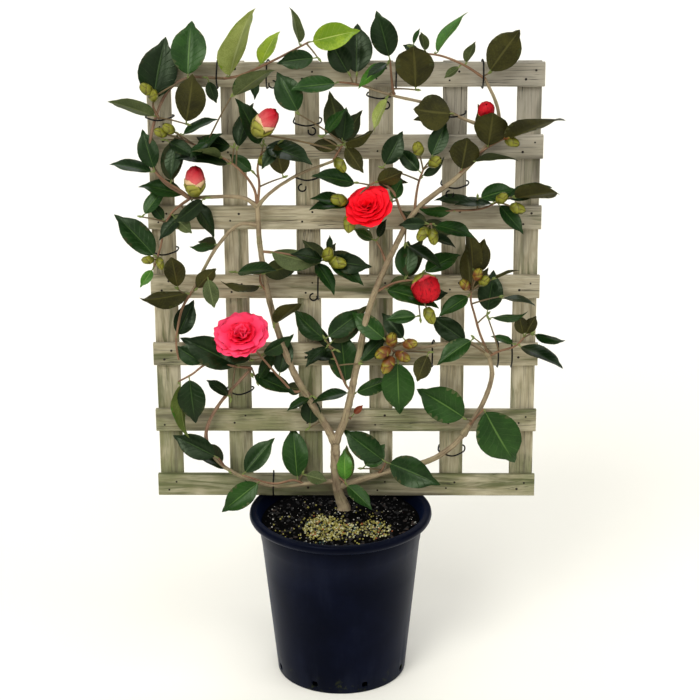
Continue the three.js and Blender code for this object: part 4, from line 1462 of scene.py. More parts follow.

# A leaf's tone is the step of green that it looks: a darker step partly stands for painted shade on leaves in
# shadow, a lighter one for painted sheen.
MASSES = [
    Mass("corner_left", (16, 32), [(-284, 952), (-292, 974), (-288, 998)],
         [Shoot(0.1, -80, 6, [under(-69, 72, MID, 0.3)]), Shoot(0.85, 64, 62, [upper(1, 94, MID, 0.6)]),
          Shoot(0.05, 105, 46, [under(15, 76, OLIVE, 0.65)]), Shoot(0.65, 80, 8, [upper(8, 104, DARK, 0.6)])],
         [BudOn(0.9, -41, 9, 20), BudOn(0.5, 6, 14, 18)]),
    Mass("top_left", (16, 20), [(-180, 1017), (-155, 1022), (-104, 1045), (-45, 1076)],
         [Shoot(0.04, 10, 6, [under(16, 114, LIME, 0.3)]), Shoot(0.3, 150, 8, [upper(165, 40, DARK, 0.4)]),
          Shoot(0.4, 20, 8, [upper(19, 66, LIME, 0.4)]), Shoot(0.9, 178, 9, [under(-7, 58, MID, 0.3)]),
          Shoot(0.97, 143, 30, [upper(-96, 57, DEEP, 0.55)]), Shoot(1, 60, 5, [upper(79, 72, LIME, 0.6)]),
          Shoot(0, -88, 25, [upper(165, 38, DARK, 0.5)])]),
    Mass("upper_left", (18, 26), [(-131, 808), (-136, 839), (-164, 876), (-214, 905), (-246, 920)],
         # The leaf at 0.5 heading -80 hangs in shade behind the branch: its DARK tone there is painted shade.
         [Shoot(0.45, 5, 26, [upper(13, 78, DARK, 0.38)]), Shoot(0.5, -60, 8, [upper(-80, 76, DARK, 0.3)]),
          Shoot(0.87, -157, 20, [upper(50, 53, DEEP, 0.4)]), Shoot(1, -40, 10, [upper(60, 60, DEEP, 0.3)]),
          Shoot(0.79, 30, 94, [under(53, 80, MID, 0.28)]), Shoot(0.77, 20, 17, [upper(-138, 36, DEEP, 0.5)]),
          Shoot(0.6, 0, 4, [under(-67, 44, MID, 0.35)]), Shoot(1, -90, 28, [upper(119, 50, DARK, 0.45)]),
          Shoot(0.5, 10, 26, [upper(-76, 60, DARK, 0.42)]), Shoot(1, -90, 12, [upper(-173, 58, DARK, 0.45)])],
         [BudOn(0.98, -61, 38, 18), BudOn(0.9, -47, 46, 18)]),
    Mass("upper_inner", (18, 24), [(-131, 808), (-127, 845), (-129, 874), (-121, 902)],
         [Shoot(0.5, -40, 10, [upper(-50, 46, DEEP, 0.5)]),
          Shoot(0.35, 70, 42, [under(-12, 52, OLIVE, 0.65)]),
          Shoot(1, 10, 12, [upper(-23, 78, DEEP, 0.42), upper(110, 78, DARK, 0.45)]),
          Shoot(0.95, 60, 34, [upper(-150, 44, DARK, 0.5)])],
         [BudOn(0.75, 51, 6, 22)]),
    Mass("upper_mid", (20, 24), [(-8, 884), (0, 900), (8, 914)],
         [Shoot(1, -57, 81, [upper(-26, 73, DEEP, 0.6)]), Shoot(0.72, -60, 33, [upper(36, 54, MID, 0.35)]),
          Shoot(0.9, 0, 6, [upper(8, 54, DARK, 0.6), under(79, 54, OLIVE, 0.4)]),
          Shoot(1, 150, 4, [under(146, 52, OLIVE, 0.5)]), Shoot(0.9, -90, 8, [under(-93, 44, OLIVE, 0.5)])],
         [BudOn(0.2, 144, 4, 21)], [BloomOn(0.55, -67, 134, 37, 0.15, (38, 16))]),
    Mass("left_edge", (20, 34), [(-238, 822), (-252, 836), (-274, 852), (-292, 870)],
         [Shoot(0.12, 0, 2, [upper(-72, 72, DEEP, 0.4)]), Shoot(0.55, 0, 6, [under(4, 78, DARK, 0.45)]),
          Shoot(1, -40, 8, [upper(-73, 68, DEEP, 0.33), upper(-18, 68, DEEP, 0.5)]),
          Shoot(0, 89, 25, [upper(-136, 58, DARK, 0.4)])],
         [], [BloomOn(0.12, 38, 24, 35, 0.15, (4, 14))]),
    Mass("left_fall", (20, 26),
         [(-238, 822), (-253, 812), (-268, 799), (-281, 776), (-288, 744), (-300, 708)],
         [Shoot(0, 114, 3, [upper(144, 71, DARK, 0.35)]), Shoot(0.14, 150, 12, [upper(-137, 58, DARK, 0.4)]),
          Shoot(0.3, 120, 8, [under(133, 46, MID, 0.5)]), Shoot(0.43, -54, 3, [upper(-35, 35, DEEP, 0.55)]),
          Shoot(0.42, -78, 38, [upper(32, 56, MID, 0.45)]), Shoot(0.88, -60, 8, [upper(-39, 93, DEEP, 0.45)]),
          Shoot(1, -150, 6, [upper(-150, 34, BRIGHT, 0.5)])],
         [BudOn(0.9, -83, 7, 16), BudOn(0.85, 160, 5, 16)]),
    Mass("left_mid", (20, 22), [(-240, 665), (-256, 638), (-265, 605), (-269, 574), (-266, 546)],
         [Shoot(0.1, -50, 20, [under(-7, 58, OLIVE, 0.6)]),
          Shoot(0.04, 122, 2, [under(-106, 79, OLIVE, 0.4)]),
          Shoot(0.06, 50, 11, [under(40, 50, OLIVE, 0.5)]), Shoot(0, 46, 37, [under(169, 53, MID, 0.5)]),
          Shoot(0.7, 20, 6, [upper(24, 64, DARK, 0.55)])]),
    Mass("left_low_leaves", (16, 24), [(-146, 529), (-168, 532), (-218, 538), (-245, 520), (-267, 508)],
         [Shoot(0.06, 150, 12, [upper(113, 74, DEEP, 0.4)]), Shoot(0, 160, 24, [upper(33, 53, DEEP, 0.42)]),
          Shoot(0.15, -60, 5, [upper(-60, 101, DARK, 0.5)]),
          Shoot(0.21, -173, 56, [upper(-50, 47, DARK, 0.4)]),
          Shoot(0.6, -50, 6, [upper(-55, 52, DEEP, 0.6)]), Shoot(0.85, 180, 6, [upper(174, 78, DARK, 0.6)]),
          Shoot(1, -170, 5, [under(-178, 92, BRIGHT, 0.2)])]),
    Mass("left_low_outer", (16, 32), [(-196, 352), (-199, 362), (-204, 374)],
         [Shoot(1, -60, 8, [upper(-61, 80, DARK, 0.5)]), Shoot(0, 137, 10, [upper(-55, 54, DARK, 0.3)])]),
    Mass("left_low_bottom", (18, 34), [(-62, 321), (-78, 330), (-112, 326), (-165, 344)],
         [Shoot(0.12, -5, 5, [upper(-5, 93, MID, 0.48)]), Shoot(0.09, 22, 15, [under(104, 38, MID, 0.6)]),
          Shoot(0.7, -130, 8, [upper(-129, 80, MID, 0.5)]), Shoot(1, 0, 8, [upper(38, 78, DEEP, 0.45)])]),
    Mass("bloom_coral", (18, 40), [(-60, 491), (-76, 490), (-96, 513), (-117, 541), (-146, 580)],
         [Shoot(0, 126, 18, [upper(-116, 41, DEEP, 0.35)]), Shoot(0.42, 10, 6, [upper(10, 66, DARK, 0.5)]),
          Shoot(0.75, -100, 14, [upper(-70, 66, DARK, 0.5)]), Shoot(0.8, 80, 8, [upper(62, 60, DEEP, 0.4)])],
         [], [BloomOn(1, -44, 18, 88, 1, (-7, 32))]),
    Mass("leader_left", (18, 32), [(-116, 660), (-128, 682), (-126, 706)],
         [Shoot(0.3, -93, 5, [under(-93, 64, OLIVE, 0.25)]), Shoot(0.8, -85, 42, [upper(80, 62, DEEP, 0.35)]),
          Shoot(0, 171, 54, [under(45, 64, OLIVE, 0.35)])]),
    Mass("centre", (18, 34), [(-126, 732), (-90, 730), (-45, 722), (-20, 722)],
         [Shoot(0.1, 100, 6, [under(107, 82, MID, 0.42)]), Shoot(0.8, 150, 6, [upper(144, 60, DEEP, 0.4)]),
          Shoot(1, -20, 5, [upper(-76, 48, DARK, 0.5)]),
          Shoot(1, 60, 8, [upper(98, 66, DARK, 0.5), upper(118, 66, DEEP, 0.4)]),
          Shoot(1, 10, 10, [upper(11, 26, DARK, 0.4)])],
         [BudOn(1, 13, 3, 22), BudOn(1, 91, 9, 23)]),
    Mass("centre_low", (18, 22), [(14, 470), (22, 482), (10, 500), (-5, 540), (-18, 573)],
         [Shoot(0.15, 60, 8, [upper(69, 62, MID, 0.42)]), Shoot(0.2, -90, 8, [upper(-101, 62, DEEP, 0.28)]),
          Shoot(0.32, 0, 5, [upper(-4, 92, DEEP, 0.55)]), Shoot(0.65, 85, 34, [upper(40, 60, DEEP, 0.45)]),
          Shoot(1, 40, 3, [upper(-132, 45, DARK, 0.4)]), Shoot(0.9, -60, 8, [upper(-32, 44, DARK, 0.4)]),
          Shoot(0.97, 120, 12, [upper(-100, 46, DARK, 0.4)]), Shoot(0.75, 60, 8, [upper(-75, 46, DARK, 0.4)]),
          Shoot(1, -30, 12, [upper(-50, 74, DEEP, 0.45), upper(49, 74, DEEP, 0.5)])]),
    Mass("bud_cluster", (20, 34), [(96, 559), (88, 564), (84, 576)],
         [Shoot(0.2, 170, 14, [upper(179, 92, MID, 0.6)]), Shoot(0.7, 60, 26, [upper(-39, 56, DARK, 0.5)]),
          Shoot(1, -40, 10, [upper(-49, 70, MID, 0.5)]), Shoot(0, 90, 50, [under(-157, 50, OLIVE, 0.6)])],
         [BudOn(1, 6, 3, 22, 1), BudOn(0.9, 70, 27, 20, 1), BudOn(0.3, 113, 5, 21, 1),
          BudOn(0.8, -112, 6, 22, 1), BudOn(0.3, -148, 12, 24, 1)]),
    Mass("right_out", (14, 28), [(246, 550), (262, 560), (288, 571), (302, 588)],
         [Shoot(0, -57, 42, [upper(-53, 72, DARK, 0.5)]), Shoot(0.1, -48, 42, [upper(-122, 68, MID, 0.45)]),
          Shoot(0.72, -60, 5, [upper(-63, 38, MID, 0.35)]), Shoot(0.75, 110, 6, [upper(112, 74, DARK, 0.3)]),
          Shoot(1, 60, 12, [upper(109, 50, DEEP, 0.3)]),
          Shoot(1, 0, 6, [under(-16, 36, OLIVE, 0.62), under(24, 36, OLIVE, 0.6)]),
          Shoot(0.27, -19, 60, [upper(88, 56, MID, 0.2)])]),
    Mass("right_up", (14, 26), [(246, 550), (230, 590), (220, 626), (214, 649), (214, 668)],
         [Shoot(0.5, 45, 22, [upper(9, 70, DARK, 0.6)]), Shoot(0.8, 75, 46, [upper(98, 52, DARK, 0.2)]),
          Shoot(0.95, -100, 5, [upper(-125, 56, MID, 0.45)]), Shoot(1, 8, 32, [under(-4, 68, OLIVE, 0.4)]),
          Shoot(1, 10, 23, [under(14, 64, OLIVE, 0.55)]), Shoot(1, 60, 38, [under(61, 40, OLIVE, 0.12)])],
         [BudOn(1, 15, 32, 19, 1), BudOn(0.98, -34, 12, 19, 1), BudOn(1, 41, 26, 18)]),
    Mass("right_low_leaves", (14, 32), [(214, 425), (222, 440), (238, 463)],
         [Shoot(0.3, -70, 10, [upper(-54, 91, MID, 0.65)]), Shoot(1, 40, 6, [upper(154, 108, MID, 0.68)])]),
    Mass("foot_right", (18, 34), [(62, 339), (70, 352), (76, 368)],
         [Shoot(0.4, -85, 32, [upper(41, 50, MID, 0.7)]),
          Shoot(1, 0, 5, [upper(-52, 84, DEEP, 0.52), upper(110, 84, DEEP, 0.6)])]),
    Mass("foot_leaves", (20, 38), [(-8, 336), (2, 334), (8, 330)],
         [Shoot(1, 20, 5, [upper(-2, 54, BRIGHT, 0.5)]), Shoot(0.9, 130, 8, [upper(130, 56, MID, 0.45)])]),
    Mass("right_mid", (18, 34), [(58, 662), (87, 679), (108, 686), (130, 688)],
         [Shoot(0.2, 120, 5, [upper(104, 86, MID, 0.38)]), Shoot(0.7, 0, 6, [upper(2, 64, DEEP, 0.58)]),
          Shoot(0.95, 35, 14, [upper(55, 68, MID, 0.45)]),
          Shoot(0.93, 174, 65, [upper(75, 44, DARK, 0.5), upper(-92, 49, MID, 0.45)])],
         [BudOn(0.9, 154, 51, 22)], [BloomOn(1, 120, 8, 45, 0.35, (150, 40))]),
    Mass("under_bloom", (18, 26), [(76, 712), (68, 736), (60, 752)],
         [Shoot(1, -30, 5, [upper(-58, 34, MID, 0.4), upper(22, 34, DARK, 0.4)])]),
    Mass("bloom_scarlet", (18, 36), [(110, 780), (99, 802), (86, 836), (62, 852), (44, 842), (22, 818)],
         [Shoot(1, -80, 6, [upper(-92, 60, DEEP, 0.35), upper(-79, 60, DEEP, 0.35)]),
          Shoot(0.3, -110, 11, [upper(27, 35, MID, 0.6)]), Shoot(0.72, -80, 18, [upper(-78, 66, DEEP, 0.42)]),
          Shoot(0.66, 40, 6, [under(74, 46, OLIVE, 0.6)])],
         [BudOn(1, -66, 15, 23), BudOn(1, -171, 19, 24)], [BloomOn(0.9, 138, 27, 75, 1, (-12, 37))]),
    Mass("bud_pair", (18, 28), [(122, 800), (124, 826), (128, 850), (135, 872)],
         [Shoot(0.73, -72, 61, [upper(28, 61, DARK, 0.55)]), Shoot(0.9, -60, 6, [upper(-42, 52, DEEP, 0.5)]),
          Shoot(0.78, 60, 6, [upper(53, 46, DARK, 0.3)]), Shoot(1, 35, 20, [upper(20, 62, DEEP, 0.5)])],
         [BudOn(1, -12, 37, 21), BudOn(1, 47, 18, 20)]),
    Mass("right_inner", (18, 36), [(108, 774), (124, 779), (150, 784)],
         [Shoot(1, 90, 4, [upper(104, 60, DEEP, 0.42)]), Shoot(0.9, -90, 4, [upper(-88, 42, DARK, 0.5)]),
          Shoot(0.5, 172, 13, [upper(108, 56, DARK, 0.28)]), Shoot(0, -177, 28, [upper(120, 65, DARK, 0.3)])],
         [BudOn(0.9, -140, 9, 20), BudOn(0.95, 169, 10, 20)]),
    Mass("right_side", (18, 30), [(132, 808), (146, 804), (193, 803), (230, 807), (254, 819)],
         [Shoot(0.45, -90, 4, [upper(-95, 52, MID, 0.3)]),
          Shoot(0.72, 0, 18, [upper(-75, 62, DARK, 0.32), upper(68, 62, MID, 0.5)]),
          Shoot(0.97, -80, 4, [upper(-88, 60, DARK, 0.28)]), Shoot(1, 135, 8, [upper(141, 62, DEEP, 0.42)]),
          Shoot(1, 72, 26, [upper(70, 72, DEEP, 0.38), under(82, 72, OLIVE, 0.35)])],
         [BudOn(0.95, 45, 9, 19), BudOn(1, 99, 26, 20)]),
    Mass("right_tip", (18, 34), [(190, 858), (206, 880), (232, 905), (262, 924)],
         [Shoot(0.1, 0, 6, [under(9, 56, OLIVE, 0.85)]), Shoot(0.35, 85, 8, [under(82, 68, DARK, 0.12)]),
          Shoot(0.7, -10, 8, [under(8, 57, OLIVE, 0.95)]), Shoot(1, 60, 6, [under(68, 93, OLIVE, 0.18)])],
         [BudOn(1, 103, 5, 19), BudOn(1, 47, 3, 16, 1)], [BloomOn(0.72, -6, 62, 26, 0.35, (4, 30))]),
    Mass("top_mid", (14, 24), [(35, 1006), (20, 1010), (2, 1013)],
         [Shoot(0.2, 5, 12, [upper(-1, 85, DARK, 0.6)]), Shoot(0.35, -20, 12, [upper(-30, 62, DARK, 0.6)]),
          Shoot(1, -90, 4, [upper(-98, 68, MID, 0.45)])]),
    Mass("top_centre", (14, 26), [(88, 989), (85, 1012), (82, 1048)],
         [Shoot(0.15, -140, 12, [under(-152, 58, LIME, 0.28)]),
          Shoot(0.2, 95, 36, [under(-2, 72, OLIVE, 0.85)]),
          Shoot(1, 77, 3, [upper(-125, 38, DARK, 0.4)]), Shoot(0.95, -80, 8, [upper(-122, 58, BRIGHT, 0.4)]),
          Shoot(1, 0, 4, [upper(-13, 76, DARK, 0.56)])]),
    Mass("top_right", (12, 22), [(232, 1015), (198, 1038), (160, 1054), (132, 1058)],
         [Shoot(0.05, 60, 10, [under(34, 80, OLIVE, 0.65)]), Shoot(0.35, 30, 6, [under(15, 36, MID, 0.45)]),
          Shoot(0.4, -130, 5, [under(-129, 30, MID, 0.4)]), Shoot(0.82, 20, 8, [upper(28, 85, BRIGHT, 0.22)]),
          Shoot(0.95, 0, 5, [under(-8, 30, MID, 0.5)]), Shoot(1, -60, 8, [upper(-63, 28, DARK, 0.5)]),
          Shoot(1, -63, 19, [upper(20, 27, MID, 0.3)])]),
]

SPURS = [
    Mass("spur_inner", (19, 19), [(-190, 749), (-194, 744)], [Shoot(1, 0, 0, [upper(-100, 40, DEEP, 0.35)])]),
    Mass("spur_leader", (19, 19), [(-27, 432), (-30, 437)], [Shoot(1, -122, 25, [upper(5, 49, DARK, 0.7)])]),
    Mass("spur_fallen", (19, 16), [(16, 440), (18, 442)], [Shoot(1, 0, 0, [upper(42, 22, RUST, 0.5)])]),
    Mass("spur_long", (17, 17), [(188, 957), (184, 960)], [Shoot(1, 0, 0, [under(-88, 61, OLIVE, 0.95)])]),
]


@dataclass(frozen=True)
class Leaf:
    """One leaf where it grows: its stalk's root, its axis, roll, length, width and bend, and its tone."""

    root: Array
    axis: Array
    roll: float
    length: float
    width: float
    bend: float
    tone: Tone
    seed: int

    STALK = 7.0

    def tip(self) -> Array:
        """The blade's tip."""
        _, face = across_axis(self.axis, self.roll)
        return self.root + self.axis * (self.STALK + self.length) - face * self.bend * self.length


@dataclass
class Blade:
    """A leaf's shape: a folded, closed skin with an upper face and a back."""

    rows: tuple[float, ...] = (0.0, 0.035, 0.1, 0.18, 0.27, 0.37, 0.48, 0.59, 0.69, 0.78, 0.86, 0.93, 1.0)
    columns: tuple[float, ...] = (-1.0, -0.66, -0.3, 0.0, 0.3, 0.66, 1.0)
    base_power: float = 0.72
    tip_power: float = 0.98
    tip_start: float = 0.74
    fold: float = 0.34
    thickness: float = 0.7

    def half_width(self, share: Array) -> Array:
        """The blade's half width as a share of the widest, from its round base to its drawn-out tip.

        Args:
            share: Shares of the way from stalk to tip.

        Returns:
            The half width at each.
        """
        widest = self.base_power / (self.base_power + self.tip_power)
        peak = widest ** self.base_power * (1 - widest) ** self.tip_power
        body = share ** self.base_power * (1 - share) ** self.tip_power / peak
        drawn = np.clip((share - self.tip_start) / (1 - self.tip_start), 0, 1)
        return np.maximum(body * (1 - 0.34 * np.sin(drawn * pi) ** 1.5), 0.012)

    def top(self, leaf: Leaf, rows: Iterable[float], columns: Iterable[float]) -> Array:
        """The points of the upper face at some rows and columns.

        Args:
            leaf: Where and how the leaf grows.
            rows: Shares of the way from stalk to tip.
            columns: Shares of the way from the midrib to a margin, from -1 to 1.

        Returns:
            The points, by row and column.
        """
        side, face = across_axis(leaf.axis, leaf.roll)
        draw = np.random.default_rng(leaf.seed)
        sway, wave, curl, phase = (draw.random(4) * 2 - 1) * np.array([0.06, 1.0, 1.0, pi])
        share, across = np.array(rows)[:, None], np.array(columns)[None, :]
        length, half = leaf.length, leaf.width / 2
        reach = across * self.half_width(share) * half
        lift = np.abs(reach) * self.fold * (1.5 - 0.8 * np.abs(across)) - half * self.fold * 0.3
        ripple = np.sin(share * (8 + 3 * wave) + phase + across * 1.2) * across ** 2 * length * 0.022
        point = np.clip((share - 0.78) / 0.22, 0, 1) ** 2
        droop = leaf.bend * length * share ** 2 + (0.05 + 0.035 * curl) * length * point
        centre = leaf.root + leaf.axis * leaf.STALK
        return (centre + leaf.axis * (share * length)[..., None]
                + side * (reach + sway * length * share ** 2)[..., None]
                + face * (lift + ripple * np.sin(pi * share) - droop)[..., None])

    def add(self, work: Gather, leaf: Leaf) -> None:
        """Gathers one leaf into a mesh.

        Args:
            work: The mesh that it goes into.
            leaf: Where and how the leaf grows.
        """
        _, face = across_axis(leaf.axis, leaf.roll)
        share, across = np.array(self.rows)[:, None], np.array(self.columns)[None, :]
        top = self.top(leaf, self.rows, self.columns)
        body = self.thickness * (1 - across ** 2) * (0.4 + 0.6 * np.sin(pi * np.clip(share, 0.08, 1)))
        rib = 0.9 * np.exp(-(across / 0.14) ** 2) * (1 - share) ** 0.7
        work.add_skin(top, top - face * (body + rib)[..., None], share, across, leaf.tone.slot(False),
                      leaf.tone.slot(True))

    def solid(self, leaf: Leaf) -> BVHTree:
        """A coarse copy of a leaf, to see whether it has room.

        Args:
            leaf: Where and how the leaf grows.

        Returns:
            The tree of its faces.
        """
        top = self.top(leaf, self.rows[1::2], self.columns[::3])
        rows, columns = top.shape[:2]
        faces = [(i * columns + k, i * columns + k + 1, (i + 1) * columns + k + 1, (i + 1) * columns + k)
                 for i in range(rows - 1) for k in range(columns - 1)]
        return BVHTree.FromPolygons(top.reshape(-1, 3).tolist(), faces)


@dataclass(frozen=True)
class Whorl:
    """A ring of petals of an open bloom.

    How many, their length and half width, how they lean from base to rim, where 0 stands up along the axis
    and 90 lies flat, their wave, their finish, where they start and how high, and how deeply they are cupped.
    """

    count: int
    length: float
    half_width: float
    lean: tuple[float, float]
    wave: float = 0.0
    slot: int = 0
    start: float = 0.08
    rise: float = 0.0
    cup: float = 0.8


@dataclass
class Corolla:
    """The petals of an open bloom. Their sizes are shares of the bloom's radius."""

    rows: int = 11
    columns: int = 11
    thickness: float = 0.5

    def add(self, work: Gather, base: Array, axis: Array, radius: float, whorls: list[Whorl],
            seed: int) -> None:
        """Gathers all the petals of one bloom.

        Args:
            work: The mesh that they go into.
            base: Where the petals spring from.
            axis: The way that the bloom faces.
            radius: The size that the whorls' shares are of.
            whorls: The rings, from the outermost in.
            seed: For the petals' small differences.
        """
        draw = np.random.default_rng(seed)
        first, second = across_axis(axis, 0)
        for order, whorl in enumerate(whorls):
            for i in range(whorl.count):
                angle = 2 * pi * (i + 0.5 * (order % 2)) / whorl.count + (draw.random() - 0.5) * 0.22
                outward = first * cos(angle) + second * sin(angle)
                self._petal(work, base, axis, outward, radius, whorl, draw)

    def _petal(self, work: Gather, base: Array, axis: Array, outward: Array, radius: float,
               whorl: Whorl, draw: np.random.Generator) -> None:
        """Gathers one petal: a broad, cupped and waved patch with an inner and an outer skin.

        Args:
            work: The mesh that it goes into.
            base: Where it springs from.
            axis: The way that the bloom faces.
            outward: The way that it leans, across the axis.
            radius: The size that the whorl's shares are of.
            whorl: Its ring.
            draw: For its small differences.
        """
        share = np.linspace(0, 1, self.rows)[:, None]
        across = np.linspace(-1, 1, self.columns)[None, :]
        length = whorl.length * radius * (1 + (draw.random() - 0.5) * 0.1)
        lean = np.radians(blend(whorl.lean[0], whorl.lean[1], share) + (draw.random() - 0.5) * 7)
        step = length / (self.rows - 1)
        out = np.concatenate([[0.0], np.cumsum(np.sin(lean[:-1, 0]) * step)])[:, None]
        up = np.concatenate([[0.0], np.cumsum(np.cos(lean[:-1, 0]) * step)])[:, None]
        corner = 1 - 0.2 * np.abs(across) ** 3 * share - 0.06 * np.exp(-(across / 0.25) ** 2) * share * (
            whorl.wave > 0.03)
        shape = 0.4 + 0.6 * np.sin(np.clip(share / 0.66, 0, 1) * pi / 2)
        shape = shape * np.sqrt(np.clip(1 - (np.clip(share - 0.66, 0, 1) / 0.42) ** 2, 0.03, 1))
        bend = max(whorl.cup * radius, 1.0)
        turn = np.clip(across * shape * whorl.half_width * radius / bend, -1.5, 1.5)
        tangent = np.cross(axis, outward)
        inward = -np.cos(lean)[..., None] * outward + np.sin(lean)[..., None] * axis
        phase = draw.random() * 6.28
        ripple = np.sin(across * 5.5 + phase) * share ** 3 * whorl.wave * radius
        ripple = ripple + np.sin(share * 8 + phase * 2) * across ** 2 * whorl.wave * radius * 0.5
        inner = (base + outward * (whorl.start * radius + out * corner)[..., None]
                 + axis * (whorl.rise * radius + up * corner)[..., None]
                 + tangent * (bend * np.sin(turn))[..., None]
                 + inward * (bend * (1 - np.cos(turn)) + ripple + across * 0.035 * radius * share)[..., None])
        skin = self.thickness * (1 - 0.6 * share) * (1 - across ** 2)
        work.add_skin(inner - inward * skin[..., None], inner, share, across, whorl.slot, whorl.slot)


@dataclass(frozen=True)
class Wrap:
    """A ring of scales or petals that lie round a shut bud.

    How many, the shares of the bud's height that they run between, half the angle that each takes up, how far
    it stands off as a share of the bud's radius, its finish, where it narrows and how far its tip stands out.
    """

    count: int
    low: float
    high: float
    half_angle: float
    lift: float
    slot: int = 0
    narrow: float = 0.4
    flare: float = 0.0


@dataclass
class ShutBud:
    """A plump, closed bud: scales or petals that overlap round an ovoid."""

    rows: int = 8
    columns: int = 7
    widest: float = 0.42
    foot: float = 0.5
    thickness: float = 0.45
    spiral: float = 0.16

    def radius_at(self, share: Array, blunt: float) -> Array:
        """The ovoid's radius at a share of its height, from its foot to its rounded tip.

        Args:
            share: Shares of the height.
            blunt: How blunt the tip is.

        Returns:
            The radius at each, as a share of the widest.
        """
        swell = self.foot + (1 - self.foot) * np.sin(np.clip(share / self.widest, 0, 1) * pi / 2)
        top = np.clip((share - self.widest) / (1 - self.widest), 0, 1)
        return swell * np.sqrt(np.clip(1 - top ** blunt, 0, 1))

    def add(self, work: Gather, base: Array, axis: Array, length: float, radius: float,
            rings: list[Wrap], blunt: float, seed: int) -> None:
        """Gathers one bud.

        Args:
            work: The mesh that it goes into.
            base: Its foot.
            axis: The way that it points.
            length: Its height.
            radius: Its radius where it is widest.
            rings: Its rings, from the innermost out.
            blunt: How blunt its tip is, from about 1.6, pointed, to 3.
            seed: For the scales' small differences.
        """
        draw = np.random.default_rng(seed)
        side, face = across_axis(axis, 0)
        share, across = np.linspace(0, 1, self.rows)[:, None], np.linspace(-1, 1, self.columns)[None, :]
        for order, ring in enumerate(rings):
            for i in range(ring.count):
                turn = 2 * pi * (i + 0.5 * (order % 2)) / ring.count + order * 0.35 + draw.random() * 0.2
                height = ring.low + (ring.high - ring.low) * share * (1 + 0.05 * (draw.random() - 0.5))
                tip = np.clip((share - ring.narrow) / max(1 - ring.narrow, 0.01), 0, 1)
                half = radians(ring.half_angle) * np.sqrt(np.clip(1 - tip ** 2.2, 0.0, 1))
                half = half if ring.narrow < 1 else np.full_like(share, radians(ring.half_angle))
                angle = turn + across * half + self.spiral * share
                lift = ring.lift + 0.05 * across * share + ring.flare * share ** 4
                reach = radius * (self.radius_at(np.clip(height, 0, 1), blunt) + lift)
                ray = side * np.cos(angle)[..., None] + face * np.sin(angle)[..., None]
                outer = base + axis * (height * length)[..., None] + ray * reach[..., None]
                skin = self.thickness * (1 - across ** 2) * (1 - 0.5 * share)
                inner = outer - ray * np.minimum(skin, reach * 0.5)[..., None]
                work.add_skin(outer, inner, share, across, ring.slot, ring.slot)


BUD_SCALES = [
    Wrap(3, 0.0, 1.0, 74, 0.0, narrow=1.0),
    Wrap(2, 0.04, 0.97, 84, 0.05, narrow=0.5),
    Wrap(2, 0.0, 0.72, 82, 0.1, narrow=0.42),
    Wrap(3, 0.0, 0.42, 62, 0.14, narrow=0.3),
]


# The numbers of the blossom's finishes
CORAL, CORAL_DEEP, SCARLET, SCARLET_DEEP, CREAM, SEPAL, ROSE = range(7)

BLOSSOM = [
    PetalSkin("petal_coral", "#f8204a", "#ff4a70", "#fc3860"),
    PetalSkin("petal_coral_deep", "#f00c2e", "#ff2c50", "#ee0e32"),
    PetalSkin("petal_scarlet", "#e8040e", "#ff1228", "#ea0816"),
    PetalSkin("petal_scarlet_deep", "#98040e", "#c4101f", "#56020a", 0.8),
    PetalSkin("petal_cream", "#b7a865", "#e8c196", "#c98a70"),
    BudScale("sepal", "#62621b", "#979438", "#3a2f10"),
    PetalSkin("petal_rose", "#d8706c", "#bc1026", "#a00c20"),
]

CORAL_BLOOM = [
    Whorl(5, 0.4, 0.2, (60, 80), slot=SEPAL, rise=-0.04),
    Whorl(6, 1.02, 0.66, (72, 88), 0.05, CORAL, cup=3.0),
    Whorl(6, 0.98, 0.66, (70, 84), 0.05, CORAL, rise=0.02, cup=2.6),
    Whorl(5, 0.84, 0.66, (64, 78), 0.045, CORAL, rise=0.04, cup=2.0),
    # These two whorls take a deeper red, partly the petals' own and partly painted shade inside the cup.
    Whorl(5, 0.5, 0.46, (48, 66), 0.03, CORAL_DEEP, rise=0.08, cup=1.2),
    Whorl(4, 0.5, 0.44, (20, 40), 0.03, CORAL_DEEP, rise=0.08, cup=0.8),
    Whorl(3, 0.46, 0.42, (8, 26), 0.03, CORAL, 0.05, 0.1, 0.6),
    Whorl(3, 0.36, 0.3, (0, 12), 0.02, CORAL, 0.03, 0.12, 0.4),
]

SCARLET_LAST = 6
SCARLET_BLOOM = [Whorl(5, 0.44, 0.22, (58, 76), slot=SEPAL, rise=-0.05)] + [
    Whorl(6 - i // 3, blend(1.02, 0.44, share), blend(0.66, 0.26, share),
          (blend(68, 6, share), blend(90, 30, share)), 0.014, SCARLET, 0.08 - 0.05 * share, 0.022 * i,
          blend(1.8, 0.32, share))
    for i, share in ((i, i / SCARLET_LAST) for i in range(SCARLET_LAST + 1))]

SHUT_BLOOM = [
    Wrap(3, 0.1, 1.0, 75, -0.16, SCARLET_DEEP, 1.0),
    Wrap(4, 0.2, 0.99, 58, -0.1, ROSE, 0.7),
    Wrap(4, 0.2, 0.93, 50, -0.06, ROSE, 0.65),
    Wrap(4, 0.1, 0.62, 54, -0.01, CREAM, 0.6),
    Wrap(4, 0.0, 0.52, 52, 0.05, SEPAL, 0.5),
    Wrap(4, 0.0, 0.36, 50, 0.09, SEPAL, 0.4),
    Wrap(3, 0.0, 0.2, 50, 0.12, SEPAL, 0.3),
]

HALF_OPEN_BLOOM = [
    Wrap(3, 0.1, 1.0, 75, 0.0, SCARLET_DEEP, 1.0),
    Wrap(4, 0.14, 0.99, 60, 0.03, SCARLET_DEEP, 0.6),
    Wrap(4, 0.1, 0.94, 56, 0.05, SCARLET_DEEP, 0.6, 0.01),
    Wrap(4, 0.05, 0.84, 54, 0.07, SCARLET_DEEP, 0.55, 0.01),
    Wrap(5, 0.02, 0.4, 42, 0.1, ROSE, 0.5, 0.01),
    Wrap(4, 0.0, 0.3, 46, 0.14, SEPAL, 0.35, 0.02),
]

